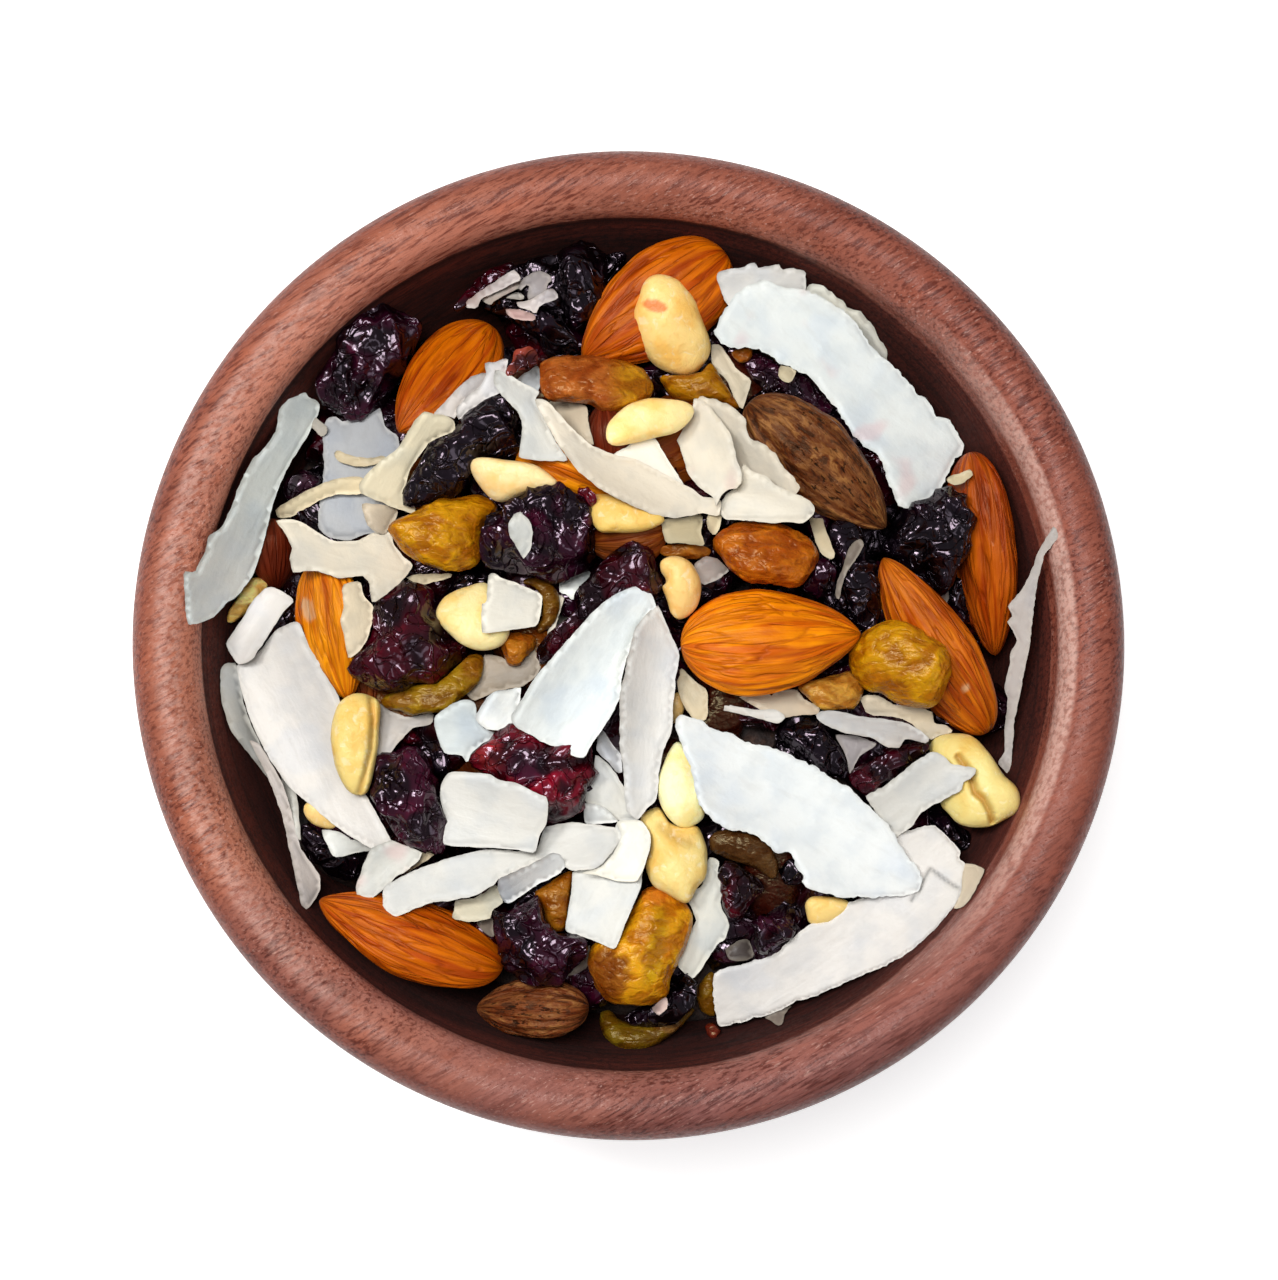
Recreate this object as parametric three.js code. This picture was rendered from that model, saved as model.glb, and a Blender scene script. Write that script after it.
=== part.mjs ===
// A small turned wooden snack bowl, heaped with trail mix: whole almonds, dried
// cranberries, raisins, blanched peanuts and coconut chips.
// Millimetres, +Z up. The origin is the middle of the flat foot, on the table.
//
// bowl       one piece of hardwood: flat foot, round belly, thick rolled rim and
//            a hollow whose wall leans inwards below the rim
// trail_mix  the heap as one solid, from the bowl's hollow up to its lumpy top.
//            It lies lower towards the back right, where the wall shows most.
import * as THREE from "three";

// ---- bowl -------------------------------------------------------------------
const BOWL_R = 64; // widest radius, just under the rim
const BOWL_H = 54; // foot to the top of the rim
const RIM_IN_R = 55.3; // where the rolled rim turns down into the hollow
const RIM_ROLL = 4.6; // how far the roll rises above the widest line
const RIM_INNER_DROP = 5.0; // the same on the hollow's side
const BELLY_DEPTH = 49.4; // from the widest line down to the foot's plane
const FOOT_R = 30;
const FOOT_EDGE = 0.8; // eased edge of the foot
const FOOT_STEP = 2.6; // height of the foot's upright side
const FOOT_COVE = 3.4; // width of the cove between foot and belly
const HOLLOW_MID_Z = 62; // centre of the hollow's ellipse, above the rim
const HOLLOW_FLOOR_Z = 9; // floor thickness
const BOWL_SECTORS = 72;

// ---- heap -------------------------------------------------------------------
const GAP = 0.3; // between heap and wood
const EDGE_Z = 43.6; // where the heap meets the wall, on average
const EDGE_TILT = 2.4; // how much higher that is at the front left
const EDGE_TILT_AT = THREE.MathUtils.degToRad(228); // direction of the high side
const CROWN_Z = 50.6; // the heap's middle, before its lumps
const CROWN_POWER = 2.5;
const LUMPS = 70; // pieces showing on top
const LUMP_LONG = 11.4; // half length of an almond-sized lump
const LUMP_SHORT = 6.2;
const LUMP_RISE = 3.6;
const GOLDEN = Math.PI * (3 - Math.sqrt(5));
const TOP_RINGS = 23;
const SIDE_RINGS = 6;

// Height of the widest line and of the rim's inner foot.
const WIDE_Z = BOWL_H - RIM_ROLL;
const RIM_IN_Z = BOWL_H - RIM_INNER_DROP;

// The hollow is a half ellipse that passes through the rim's inner foot.
const hollowDepth = HOLLOW_MID_Z - HOLLOW_FLOOR_Z;
const hollowA =
  RIM_IN_R / Math.sqrt(1 - ((HOLLOW_MID_Z - RIM_IN_Z) / hollowDepth) ** 2);
const hollowR = (z) =>
  hollowA *
  Math.sqrt(Math.max(0, 1 - ((HOLLOW_MID_Z - z) / hollowDepth) ** 2));

// The belly is a quarter ellipse from the widest line.
const bellyZ = (r) =>
  WIDE_Z - BELLY_DEPTH * Math.sqrt(Math.max(0, 1 - (r / BOWL_R) ** 2));

function bowlProfile() {
  const p = [];
  const add = (r, z) => p.push(new THREE.Vector2(r, z));
  add(0, 0);
  // flat foot with an eased edge, a short upright side and a cove into the belly
  add(FOOT_R - FOOT_EDGE, 0);
  add(FOOT_R, FOOT_EDGE);
  add(FOOT_R, FOOT_STEP);
  const r0 = FOOT_R + FOOT_COVE;
  const z0 = bellyZ(r0);
  add(FOOT_R + FOOT_COVE * 0.32, FOOT_STEP + (z0 - FOOT_STEP) * 0.62);
  // belly
  const a0 = Math.asin(r0 / BOWL_R);
  const BELLY_STEPS = 9;
  for (let i = 0; i <= BELLY_STEPS; i++) {
    const a = a0 + ((Math.PI / 2 - a0) * i) / BELLY_STEPS;
    add(BOWL_R * Math.sin(a), WIDE_Z - BELLY_DEPTH * Math.cos(a));
  }
  // rolled rim: two quarter ellipses that meet at the top
  const topR = (BOWL_R + RIM_IN_R) / 2;
  const half = (BOWL_R - RIM_IN_R) / 2;
  const ROLL_STEPS = 5;
  for (let i = 1; i <= ROLL_STEPS; i++) {
    const a = (Math.PI / 2) * (i / ROLL_STEPS);
    add(topR + half * Math.cos(a), WIDE_Z + RIM_ROLL * Math.sin(a));
  }
  for (let i = 1; i <= ROLL_STEPS; i++) {
    const a = (Math.PI / 2) * (i / ROLL_STEPS);
    add(topR - half * Math.sin(a), RIM_IN_Z + RIM_INNER_DROP * Math.cos(a));
  }
  // hollow, down to the middle of the floor
  const aIn = Math.acos((HOLLOW_MID_Z - RIM_IN_Z) / hollowDepth);
  const HOLLOW_STEPS = 8;
  for (let i = 1; i < HOLLOW_STEPS; i++) {
    const a = aIn * (1 - i / HOLLOW_STEPS);
    add(hollowA * Math.sin(a), HOLLOW_MID_Z - hollowDepth * Math.cos(a));
  }
  add(0, HOLLOW_FLOOR_Z);
  return p;
}

function bowlGeometry() {
  const g = new THREE.LatheGeometry(bowlProfile(), BOWL_SECTORS);
  g.rotateX(Math.PI / 2); // the lathe turns about Y
  return g;
}

// ---- the heap's lumpy top -----------------------------------------------------
// A repeatable value between 0 and 1 for lump k.
const chance = (k, salt) => {
  const s = Math.sin(k * 12.9898 + salt * 78.233) * 43758.5453;
  return s - Math.floor(s);
};

const edgeZ = (phi) => EDGE_Z + EDGE_TILT * Math.cos(phi - EDGE_TILT_AT);

// Lumps lie on a sunflower spiral, so they cover the top evenly, each turned
// its own way. Every third one is as long as an almond.
const lumps = [];
for (let k = 0; k < LUMPS; k++) {
  const r = (hollowR(EDGE_Z) - 4.5) * Math.sqrt((k + 0.4) / LUMPS);
  const phi = k * GOLDEN;
  const long = k % 3 === 0;
  lumps.push({
    x: r * Math.cos(phi),
    y: r * Math.sin(phi),
    turn: chance(k, 1) * Math.PI,
    a: (long ? LUMP_LONG : LUMP_SHORT) * (0.85 + 0.35 * chance(k, 2)),
    b: LUMP_SHORT * (0.8 + 0.35 * chance(k, 3)),
    rise: LUMP_RISE * (0.55 + 0.6 * chance(k, 4)),
  });
}

function crownZ(x, y) {
  const r = Math.hypot(x, y);
  const phi = Math.atan2(y, x);
  const share = Math.min(1, r / hollowR(edgeZ(phi))) ** CROWN_POWER;
  return CROWN_Z + (edgeZ(phi) - CROWN_Z) * share;
}

function topZ(x, y) {
  let up = 0;
  for (const l of lumps) {
    const dx = x - l.x;
    const dy = y - l.y;
    const u = (dx * Math.cos(l.turn) + dy * Math.sin(l.turn)) / l.a;
    const v = (dy * Math.cos(l.turn) - dx * Math.sin(l.turn)) / l.b;
    const d = u * u + v * v;
    if (d < 1) up = Math.max(up, l.rise * Math.sqrt(1 - d));
  }
  return crownZ(x, y) + up;
}

// The top is a net of even triangles: ring k has 6k points, and each of its six
// wedges is stitched to the ring inside it. Below the edge the heap follows the
// hollow down with the same number of points on every ring.
function heapGeometry() {
  const pos = [];
  const index = [];
  const addRing = (count, point) => {
    const first = pos.length / 3;
    for (let i = 0; i < count; i++) pos.push(...point((i / count) * 2 * Math.PI));
    return first;
  };
  let inner = 0;
  pos.push(0, 0, topZ(0, 0)); // vertex 0, the middle of the top
  for (let k = 1; k <= TOP_RINGS; k++) {
    const outer = addRing(6 * k, (phi) => {
      const r = ((hollowR(edgeZ(phi)) - GAP) * k) / TOP_RINGS;
      const x = r * Math.cos(phi);
      const y = r * Math.sin(phi);
      return [x, y, k === TOP_RINGS ? edgeZ(phi) : topZ(x, y)];
    });
    for (let wedge = 0; wedge < 6; wedge++) {
      for (let i = 0; i < k; i++) {
        const o0 = outer + wedge * k + i;
        const o1 = outer + ((wedge * k + i + 1) % (6 * k));
        const n = 6 * (k - 1);
        const i0 = k === 1 ? 0 : inner + ((wedge * (k - 1) + i) % n);
        index.push(i0, o0, o1);
        if (i < k - 1) index.push(i0, o1, inner + ((wedge * (k - 1) + i + 1) % n));
      }
    }
    inner = outer;
  }
  // down the hollow, the gap measured square to its wall
  const count = 6 * TOP_RINGS;
  for (let k = 1; k <= SIDE_RINGS; k++) {
    const end = k === SIDE_RINGS;
    const outer = end
      ? pos.length / 3
      : addRing(count, (phi) => {
          const a0 = Math.acos((HOLLOW_MID_Z - edgeZ(phi)) / hollowDepth);
          const a = a0 * (1 - k / SIDE_RINGS);
          const r = (hollowA - GAP * 1.6) * Math.sin(a);
          const z = HOLLOW_MID_Z - (hollowDepth - GAP * 1.6) * Math.cos(a);
          return [r * Math.cos(phi), r * Math.sin(phi), z];
        });
    if (end) pos.push(0, 0, HOLLOW_FLOOR_Z + GAP * 1.6);
    for (let i = 0; i < count; i++) {
      const j = (i + 1) % count;
      if (end) index.push(inner + i, outer, inner + j);
      else {
        index.push(inner + i, outer + i, outer + j);
        index.push(inner + i, outer + j, inner + j);
      }
    }
    inner = outer;
  }
  const g = new THREE.BufferGeometry();
  g.setAttribute("position", new THREE.Float32BufferAttribute(pos, 3));
  g.setIndex(index);
  g.computeVertexNormals();
  return g;
}

// ---- assembly -----------------------------------------------------------------
const wood = new THREE.MeshStandardMaterial({
  color: 0x8a4c3b,
  roughness: 0.48,
  metalness: 0,
});
const mixed = new THREE.MeshStandardMaterial({
  color: 0xb98a5c,
  roughness: 0.7,
  metalness: 0,
});

const group = new THREE.Group();
const bowl = new THREE.Mesh(bowlGeometry(), wood);
bowl.name = "bowl";
const heap = new THREE.Mesh(heapGeometry(), mixed);
heap.name = "trail_mix";
group.add(bowl, heap);

export default group;
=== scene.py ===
"""A small turned wooden bowl heaped with trail mix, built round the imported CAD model.

Lengths are in millimetres while the heap is worked out, and in metres in the meshes.
Every piece of the heap has its own outline, read as it is seen from the camera. The
pieces are dropped one after the other onto a height map of what lies under them, so
each one rests on the pieces, the core or the wall below it.
"""
import math

import bpy
import numpy as np
from mathutils import Matrix, Vector
from mathutils.geometry import delaunay_2d_cdt


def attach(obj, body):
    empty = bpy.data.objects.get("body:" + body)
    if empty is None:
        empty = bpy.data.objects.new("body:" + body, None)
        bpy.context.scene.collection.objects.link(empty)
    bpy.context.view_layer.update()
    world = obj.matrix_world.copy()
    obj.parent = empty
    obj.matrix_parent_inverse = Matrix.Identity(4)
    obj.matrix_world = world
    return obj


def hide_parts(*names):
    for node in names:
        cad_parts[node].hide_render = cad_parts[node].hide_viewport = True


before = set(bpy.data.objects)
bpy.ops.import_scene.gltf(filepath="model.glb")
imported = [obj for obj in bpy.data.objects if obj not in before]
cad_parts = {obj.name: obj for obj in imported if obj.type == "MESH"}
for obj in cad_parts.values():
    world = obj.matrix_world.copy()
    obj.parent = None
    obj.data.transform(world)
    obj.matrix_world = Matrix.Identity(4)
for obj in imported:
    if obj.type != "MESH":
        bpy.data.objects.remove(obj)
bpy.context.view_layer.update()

# ------------------------------------------------------------------ sizes, mm
BOWL_R, BOWL_H, RIM_IN_R = 64.0, 54.0, 55.3
RIM_ROLL, RIM_INNER_DROP, BELLY_DEPTH = 4.6, 5.0, 49.4
FOOT_R, FOOT_EDGE, FOOT_STEP, FOOT_COVE = 30.0, 0.8, 2.6, 3.4
HOLLOW_MID_Z, HOLLOW_FLOOR_Z = 62.0, 9.0
WIDE_Z, RIM_IN_Z = BOWL_H - RIM_ROLL, BOWL_H - RIM_INNER_DROP
HOLLOW_DEPTH = HOLLOW_MID_Z - HOLLOW_FLOOR_Z
HOLLOW_A = RIM_IN_R / math.sqrt(1 - ((HOLLOW_MID_Z - RIM_IN_Z) / HOLLOW_DEPTH) ** 2)
EDGE_Z, EDGE_TILT, EDGE_TILT_AT = 43.6, 2.4, math.radians(228)
CROWN_Z, CROWN_POWER = 50.6, 2.5

# ------------------------------------------------------------------ camera
IMG_W, IMG_H, FOCAL_PX = 1278, 1280, 2716.0
LOOK_AT = np.array([0.912, -0.126, 49.0])
LEAN = math.radians(5.4)
BACK = np.array([-0.45 * math.sin(LEAN), -0.89 * math.sin(LEAN), math.cos(LEAN)])
BACK /= np.linalg.norm(BACK)
EYE = LOOK_AT + 350.96 * BACK
RIGHT = np.cross(-BACK, [0, 1, 0])
RIGHT /= np.linalg.norm(RIGHT)
UP = np.cross(RIGHT, -BACK)


def rays(px):
    px = np.asarray(px, float)
    return (
        RIGHT * ((px[:, :1] - IMG_W / 2) / FOCAL_PX)
        - UP * ((px[:, 1:2] - IMG_H / 2) / FOCAL_PX)
        - BACK
    )


def seen_at(px, z):
    """Where the points of the frame lie at height z."""
    d = rays(px)
    t = (z - EYE[2]) / d[:, 2]
    return EYE[:2] + d[:, :2] * t[:, None]


def lean_of(xy, z):
    """How far a point moves sideways, per mm down, to stay on its line of sight."""
    d = np.column_stack([xy[:, 0] - EYE[0], xy[:, 1] - EYE[1]])
    return d / (z - EYE[2])[:, None] if np.ndim(z) else d / (z - EYE[2])


# ------------------------------------------------------------------ outlines, frame pixels
FLAKES = [
    ("rim_left", 8, {'tone': 'pale', 'lie': 'rim'},
     [(304.9, 391), (309, 397.7), (316.9, 400.9), (320, 406), (317.9, 415.2), (313.5, 423), (309.6, 432.2), (301.7, 445.2), (292.6, 459.6), (284.8, 473.9), (277, 492.2), (272.5, 505.9), (266.8, 528.9), (261, 551.8), (251.8, 577.1), (235.8, 597.8), (226.6, 602.3), (215.1, 616.1), (202.5, 621.9), (188.7, 625.8), (185.3, 606.9), (184.1, 572.5), (194.4, 571.4), (205.9, 549.5), (208.2, 535.8), (220.2, 528.9), (226.6, 517.4), (233.5, 501.3), (239.2, 485.3), (251.8, 460), (261, 451.7), (275.9, 431.1), (279.6, 404.8), (288.7, 396.2)]),
    ("shred_a", 6, {'tone': 'shade'},
     [(306.9, 417.1), (312.7, 415.3), (327.1, 427.5), (325.8, 434.4), (320.7, 436.7), (311.5, 426.3)]),
    ("wide_grey", 2, {'tone': 'blue'},
     [(326.5, 419.1), (335.6, 416.5), (343.5, 421.7), (351.3, 417.8), (369.5, 410), (377.4, 406), (381.3, 411.3), (385.2, 427), (397, 434.8), (398.8, 442.4), (401.1, 473.8), (389.6, 505.9), (380.4, 531.2), (364.3, 534.5), (348.7, 540.4), (330.4, 537.8), (318.7, 528.7), (318.7, 508), (322.6, 484.3), (324, 460), (322.6, 436)]),
    ("y_small", 3, {'tone': 'straw'},
     [(334.3, 453.0), (338.2, 449.9), (351.3, 455.6), (369.5, 458.2), (382.6, 455.1), (386.5, 459.6), (374.8, 464.8), (356.5, 466.6), (338.2, 461.4)]),
    ("y_low", 3, {'tone': 'bone'},
     [(362.2, 504.2), (382.6, 504.7), (398.2, 510.4), (396.2, 518.2), (390.4, 526.1), (385.2, 534.4), (374.8, 531.8), (366.9, 524.0)]),
    ("y_arm", 4, {'tone': 'cream'},
     [(275.6, 510.4), (280.9, 505.2), (299.1, 494.8), (317.4, 485.6), (335.6, 479.1), (356.5, 476.0), (364.3, 478.6), (365.6, 492.2), (351.3, 494.8), (335.6, 494.8), (320.0, 500.0), (306.9, 507.8), (291.3, 516.9), (278.3, 518.2)]),
    ("strand", 5, {'tone': 'silver2', 'even': 0.3},
     [(456.2, 408.8), (465.0, 398.8), (475.0, 390.0), (481.2, 385.0), (486.2, 375.0), (485.0, 363.8), (495.0, 361.9), (508.1, 358.1), (506.2, 370.0), (512.5, 377.5), (510.0, 387.5), (502.5, 392.5), (498.1, 393.8), (491.2, 396.9), (483.8, 401.5), (486.2, 405.0), (477.5, 408.1), (470.0, 411.9), (458.8, 419.4)]),
    ("strand_back", 4, {'tone': 'ivory2', 'seed': 934, 'even': 0.6},
     [(433.1, 414.4), (441.2, 405.6), (450.0, 396.2), (458.8, 386.9), (470.0, 377.5), (483.1, 372.5), (490.0, 375.0), (487.5, 385.0), (480.0, 390.0), (470.0, 397.5), (458.8, 408.8), (455.0, 418.1), (448.1, 416.2)]),
    ("strand_lobe", 4, {'tone': 'pale', 'seed': 933, 'even': 0.5},
     [(512.5, 382.5), (517.5, 379.4), (523.8, 373.8), (532.5, 368.5), (536.9, 365.0), (540.2, 370.0), (541.5, 381.2), (539.4, 393.1), (530.0, 395.0), (518.8, 390.0)]),
    ("strand_mid", 5, {'tone': 'silver', 'cup': 0.9, 'seed': 931, 'even': 0.5},
     [(495.0, 370.0), (507.5, 373.1), (516.9, 379.4), (530.0, 386.2), (539.8, 391.9), (535.0, 398.8), (538.8, 407.5), (543.8, 418.8), (550.0, 431.2), (560.0, 447.5), (567.5, 459.8), (560.0, 461.0), (547.5, 461.0), (532.5, 460.0), (519.4, 457.8), (520.2, 443.8), (522.2, 426.2), (520.0, 416.2), (515.0, 408.8), (506.2, 400.0), (498.8, 391.9), (493.8, 382.5)]),
    ("y_body", 4, {'tone': 'cream2', 'cup': 1.0},
     [(424.3, 411.3), (433.4, 413.9), (446.5, 415.2), (454.3, 421.7), (454.3, 430.9), (442.6, 436.1), (429.5, 442.6), (421.7, 453.0), (413.9, 463.5), (408.7, 473.9), (406.1, 484.3), (402.1, 494.8), (414.4, 505.2), (414.4, 513.5), (395.6, 508.3), (382.6, 502.6), (369.5, 497.4), (360.4, 492.2), (358.6, 484.3), (364.3, 476.5), (372.2, 468.7), (380.0, 460.9), (387.8, 455.6), (398.2, 447.8), (406.1, 434.8), (413.9, 421.7)]),
    ("rect_b", 4, {'tone': 'straw2'},
     [(545.1, 400.9), (566.9, 402.5), (586.5, 406.2), (588.8, 425), (593.8, 444.5), (580.7, 438.8), (557.8, 420.4)]),
    ("triangle", 6, {'tone': 'milk', 'even': 0.5},
     [(614, 454.4), (626.6, 446.8), (635.8, 439.9), (654.2, 437.6), (661.1, 448), (672.6, 466.3), (684, 485.8), (672.6, 489.3), (626.6, 470.9)]),
    ("crescent", 8, {'tone': 'warm', 'cup': 1.2},
     [(534.8, 399.3), (539.4, 411.2), (548.6, 427.3), (557.8, 443.4), (566.9, 457.1), (580.7, 473.2), (599.1, 488.1), (622, 500.8), (649.6, 513.4), (672.6, 518), (686.3, 516.4), (702.4, 513.4), (718.5, 515.7), (720.8, 500.8), (702.4, 496.2), (693.2, 489.3), (681.7, 483.5), (658.8, 470.9), (635.8, 459.4), (615.2, 454.4), (594.5, 446.8), (580.7, 436.5), (566.9, 422.7), (555.5, 408.9), (545.1, 399.7)]),
    ("sliver_e", 6, {'tone': 'ash', 'rag': 0.1, 'seed': 936},
     [(505.5, 298.0), (513.0, 293.0), (519.0, 292.0), (524.0, 295.2), (525.0, 298.2), (520.0, 299.6), (512.0, 299.2)]),
    ("sliver_a2", 6, {'tone': 'shade', 'rag': 0.15, 'seed': 935},
     [(480.8, 298.0), (495.0, 291.0), (511.0, 283.0), (519.0, 280.0), (523.0, 282.0), (520.0, 288.0), (515.0, 290.0), (509.5, 293.0), (503.0, 296.0), (495.0, 301.2), (490.2, 305.5), (485.5, 303.5), (482.5, 300.5)]),
    ("lobe_back", 7, {'tone': 'warm', 'rag': 0.25},
     [(695.3, 396.7), (713.3, 399.4), (730.0, 405.0), (741.1, 413.3), (746.7, 421.7), (748.1, 436.9), (760.6, 442.5), (771.7, 449.4), (777.2, 456.4), (782.8, 466.1), (793.9, 477.2), (800.0, 486.9), (796.7, 494.4), (774.4, 499.4), (741.1, 493.9), (721.7, 471.7), (705.0, 441.1), (696.7, 416.1)]),
    ("lobe_low", 7, {'tone': 'warm2', 'cup': 0.9},
     [(743.9, 463.3), (752.2, 471.7), (766.1, 475.8), (774.4, 484.2), (785.6, 489.7), (802.2, 496.7), (811.9, 502.2), (814.7, 510.6), (810.6, 517.5), (802.2, 523.1), (788.3, 521.7), (771.7, 523.1), (755.0, 521.7), (738.3, 520.3), (724.4, 518.9), (720.3, 513.3), (721.7, 502.2), (725.8, 493.9), (735.6, 488.3), (739.7, 482.8), (739.7, 471.7)]),
    ("lobe_front", 8, {'tone': 'warm2', 'cup': 1.2},
     [(693.9, 398.1), (703.6, 400.8), (710.6, 407.8), (721.7, 421.7), (730.0, 432.8), (734.2, 446.7), (736.9, 460.6), (741.7, 471.7), (741.1, 482.8), (736.9, 488.3), (728.6, 489.7), (721.7, 495.3), (716.1, 505.6), (713.3, 498.1), (702.2, 489.7), (692.5, 480.0), (686.9, 471.7), (684.2, 460.6), (680.0, 448.1), (677.2, 438.3), (682.8, 428.6), (689.7, 418.9), (692.5, 407.8)]),
    ("square_a", 5, {'tone': 'straw'},
     [(662.2, 520.3), (681.7, 518), (702.4, 514.5), (701.2, 532.9), (704.7, 545.5), (684, 543.2), (665.7, 542.1)]),
    ("tip_a", 6, {'tone': 'cream'},
     [(713.3, 498.1), (720.3, 501.7), (721.7, 513.3), (720.3, 527.2), (714.7, 535.6), (709.2, 530.6), (706.4, 521.7), (710.0, 509.2)]),
    ("serrated", 6, {'tone': 'silver2', 'rag': 0.12, 'even': 0.5},
     [(716.1, 276.4), (720.6, 271.2), (733.3, 268.2), (745.5, 267.0), (750.6, 263.0), (756.1, 263.3), (757.9, 267.9), (765.2, 266.4), (779.4, 264.5), (782.1, 269.4), (793.9, 268.2), (805.2, 271.2), (805.8, 280.9), (805.2, 295.2), (793.9, 311.2), (769.7, 317.3), (733.3, 308.8), (724.2, 299.7), (720.0, 287.0)]),
    ("back_right", 6, {'tone': 'milk', 'rag': 0.2},
     [(805.5, 294.5), (807.3, 287.0), (813.6, 283.3), (827.3, 288.2), (833.9, 294.5), (842.4, 300.0), (849.1, 307.6), (862.1, 312.4), (867.3, 320.3), (874.5, 327.9), (879.4, 338.5), (885.5, 347.6), (887.0, 360.3), (872.7, 359.7), (842.4, 335.5), (812.1, 311.2), (806.1, 299.7)]),
    ("upper_right", 9, {'tone': 'pale', 'rag': 0.28, 'cup': 1.0, 'arch': 2.0, 'pink': 1},
     [(714.9, 330.9), (725.3, 307.9), (732.1, 296.4), (745.9, 286.1), (764.3, 280.4), (782.7, 286.8), (804.5, 290.2), (817.1, 294.6), (828.6, 301), (846.9, 312.5), (860.7, 328.6), (873.3, 349.2), (884.8, 358.4), (899.7, 372.2), (913.5, 388.3), (929.6, 403.2), (936.5, 415.8), (946.8, 417.7), (954.8, 429.6), (964, 443.4), (962.9, 452.6), (954.8, 459.4), (948, 473.2), (943.4, 484.7), (929.6, 498.5), (915.8, 505.4), (902, 508.1), (895.2, 498.5), (886, 477.8), (883.7, 464), (875.6, 454.4), (860.7, 443.4), (846.9, 425), (835.5, 406.6), (824, 395.2), (814.8, 381.4), (798.7, 371), (778.1, 361.9), (764.3, 351.5), (745.9, 346.9), (734.4, 349.2), (720.7, 342.3)]),
    ("beside_nut", 5, {'tone': 'bone'},
     [(711.6, 344.6), (720.8, 345.8), (729.9, 358.4), (739.1, 371), (750.6, 379.1), (749.5, 388.3), (742.6, 408.9), (734.5, 399.7), (727.7, 381.4), (716.2, 369.9), (711.6, 360.7)]),
    ("sliver_a", 7, {'tone': 'ivory2', 'rag': 0.12},
     [(465.0, 305.0), (466.8, 300.5), (475.0, 295.0), (485.0, 288.0), (497.0, 280.0), (509.0, 272.0), (514.2, 270.0), (518.6, 274.0), (520.6, 279.5), (511.0, 284.5), (502.0, 289.5), (493.0, 293.5), (485.0, 297.0), (481.2, 299.2), (476.5, 307.5), (471.0, 308.0), (466.8, 307.0)]),
    ("sliver_b", 6, {'tone': 'dim3', 'rag': 0.12, 'cup': 1.2},
     [(518.2, 288.0), (521.0, 282.0), (525.0, 277.0), (532.0, 273.0), (540.0, 270.2), (545.0, 272.5), (550.5, 275.5), (551.5, 280.0), (547.5, 284.2), (546.5, 290.0), (541.0, 295.0), (534.0, 297.2), (528.2, 300.5), (527.2, 293.5), (529.0, 285.0), (525.0, 286.2), (521.0, 290.0)]),
    ("sliver_c", 7, {'tone': 'ivory2', 'rag': 0.12, 'cup': 1.0},
     [(516.5, 302.2), (525.0, 301.2), (531.0, 299.0), (541.0, 293.5), (545.5, 290.0), (551.0, 288.5), (556.0, 292.0), (558.2, 298.0), (553.0, 300.5), (545.0, 303.2), (539.2, 306.2), (537.2, 312.0), (534.2, 313.8), (529.2, 310.0), (521.0, 307.8), (517.2, 305.0)]),
    ("sliver_d", 7, {'tone': 'pink2', 'rag': 0.12},
     [(505.8, 309.2), (511.0, 309.0), (520.0, 309.8), (527.0, 311.8), (534.0, 314.0), (536.2, 319.0), (531.0, 321.2), (523.0, 320.0), (515.0, 319.2), (510.0, 317.2), (507.2, 314.0)]),
    ("mid_left", 5, {'tone': 'warm'},
     [(275.9, 520.8), (288.6, 519.2), (302.3, 522), (316.1, 531.2), (334.5, 540.8), (357.4, 540.4), (371.2, 533.5), (389.6, 530.7), (394.2, 544.9), (403.4, 556.4), (412.6, 566.1), (403.4, 579.4), (385, 595.5), (372.4, 602.3), (368.9, 584), (362, 575.9), (339.1, 578.2), (318.4, 571.4), (302.3, 571.4), (293.2, 572.5), (289.7, 558.7), (292, 547.2), (284, 531.2)]),
    ("small_left", 6, {'tone': 'silver', 'cup': 1.0},
     [(264.5, 588.6), (274.8, 587.4), (292, 597.8), (293.2, 602.3), (284, 611.5), (274.8, 625.3), (263.3, 643.7), (251.8, 659.7), (238.1, 664.3), (228.9, 650.6), (226.6, 642.5), (235.8, 627.6), (242.7, 618.4), (251.8, 602.3)]),
    ("by_almond", 4, {'tone': 'oat2', 'even': 0.3},
     [(343.7, 584), (359.7, 581.7), (364.3, 595.5), (373.5, 606.9), (372.4, 620.7), (366.6, 641.4), (355.2, 655.2), (348.3, 657.4), (343.7, 634.5), (340.2, 620.7), (343.7, 606.9), (342.5, 593.2)]),
    ("big_left", 5, {'tone': 'silver', 'cup': 1.4},
     [(236.9, 665.5), (240.4, 662), (251.8, 659.7), (263.3, 646), (274.8, 631), (288.6, 623.5), (298.9, 621.9), (306.9, 641.4), (318.4, 659.7), (327.6, 678.1), (339.1, 697.6), (341.4, 735.5), (350.6, 776.8), (366.5, 796.2), (379.1, 818.1), (390.6, 839.9), (382.5, 849.1), (369.9, 847.9), (346.9, 834.1), (328.6, 820.4), (298.7, 795.1), (288.6, 786), (267.9, 756.2), (254.1, 728.6), (244.9, 703.4), (239.2, 680.4)]),
    ("layer_left", 3, {'tone': 'grey', 'slope': (200, 0.9)},
     [(220.2, 673.5), (224.3, 664.3), (235.8, 663.2), (239.2, 680.4), (243.8, 703.4), (253, 728.6), (267.9, 758.5), (279.4, 786), (272.5, 783.7), (247.2, 751.6), (231.2, 730.9), (222, 703.4)]),
    ("edge_left", 4, {'tone': 'ash', 'slope': (20, 0.9)},
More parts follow.
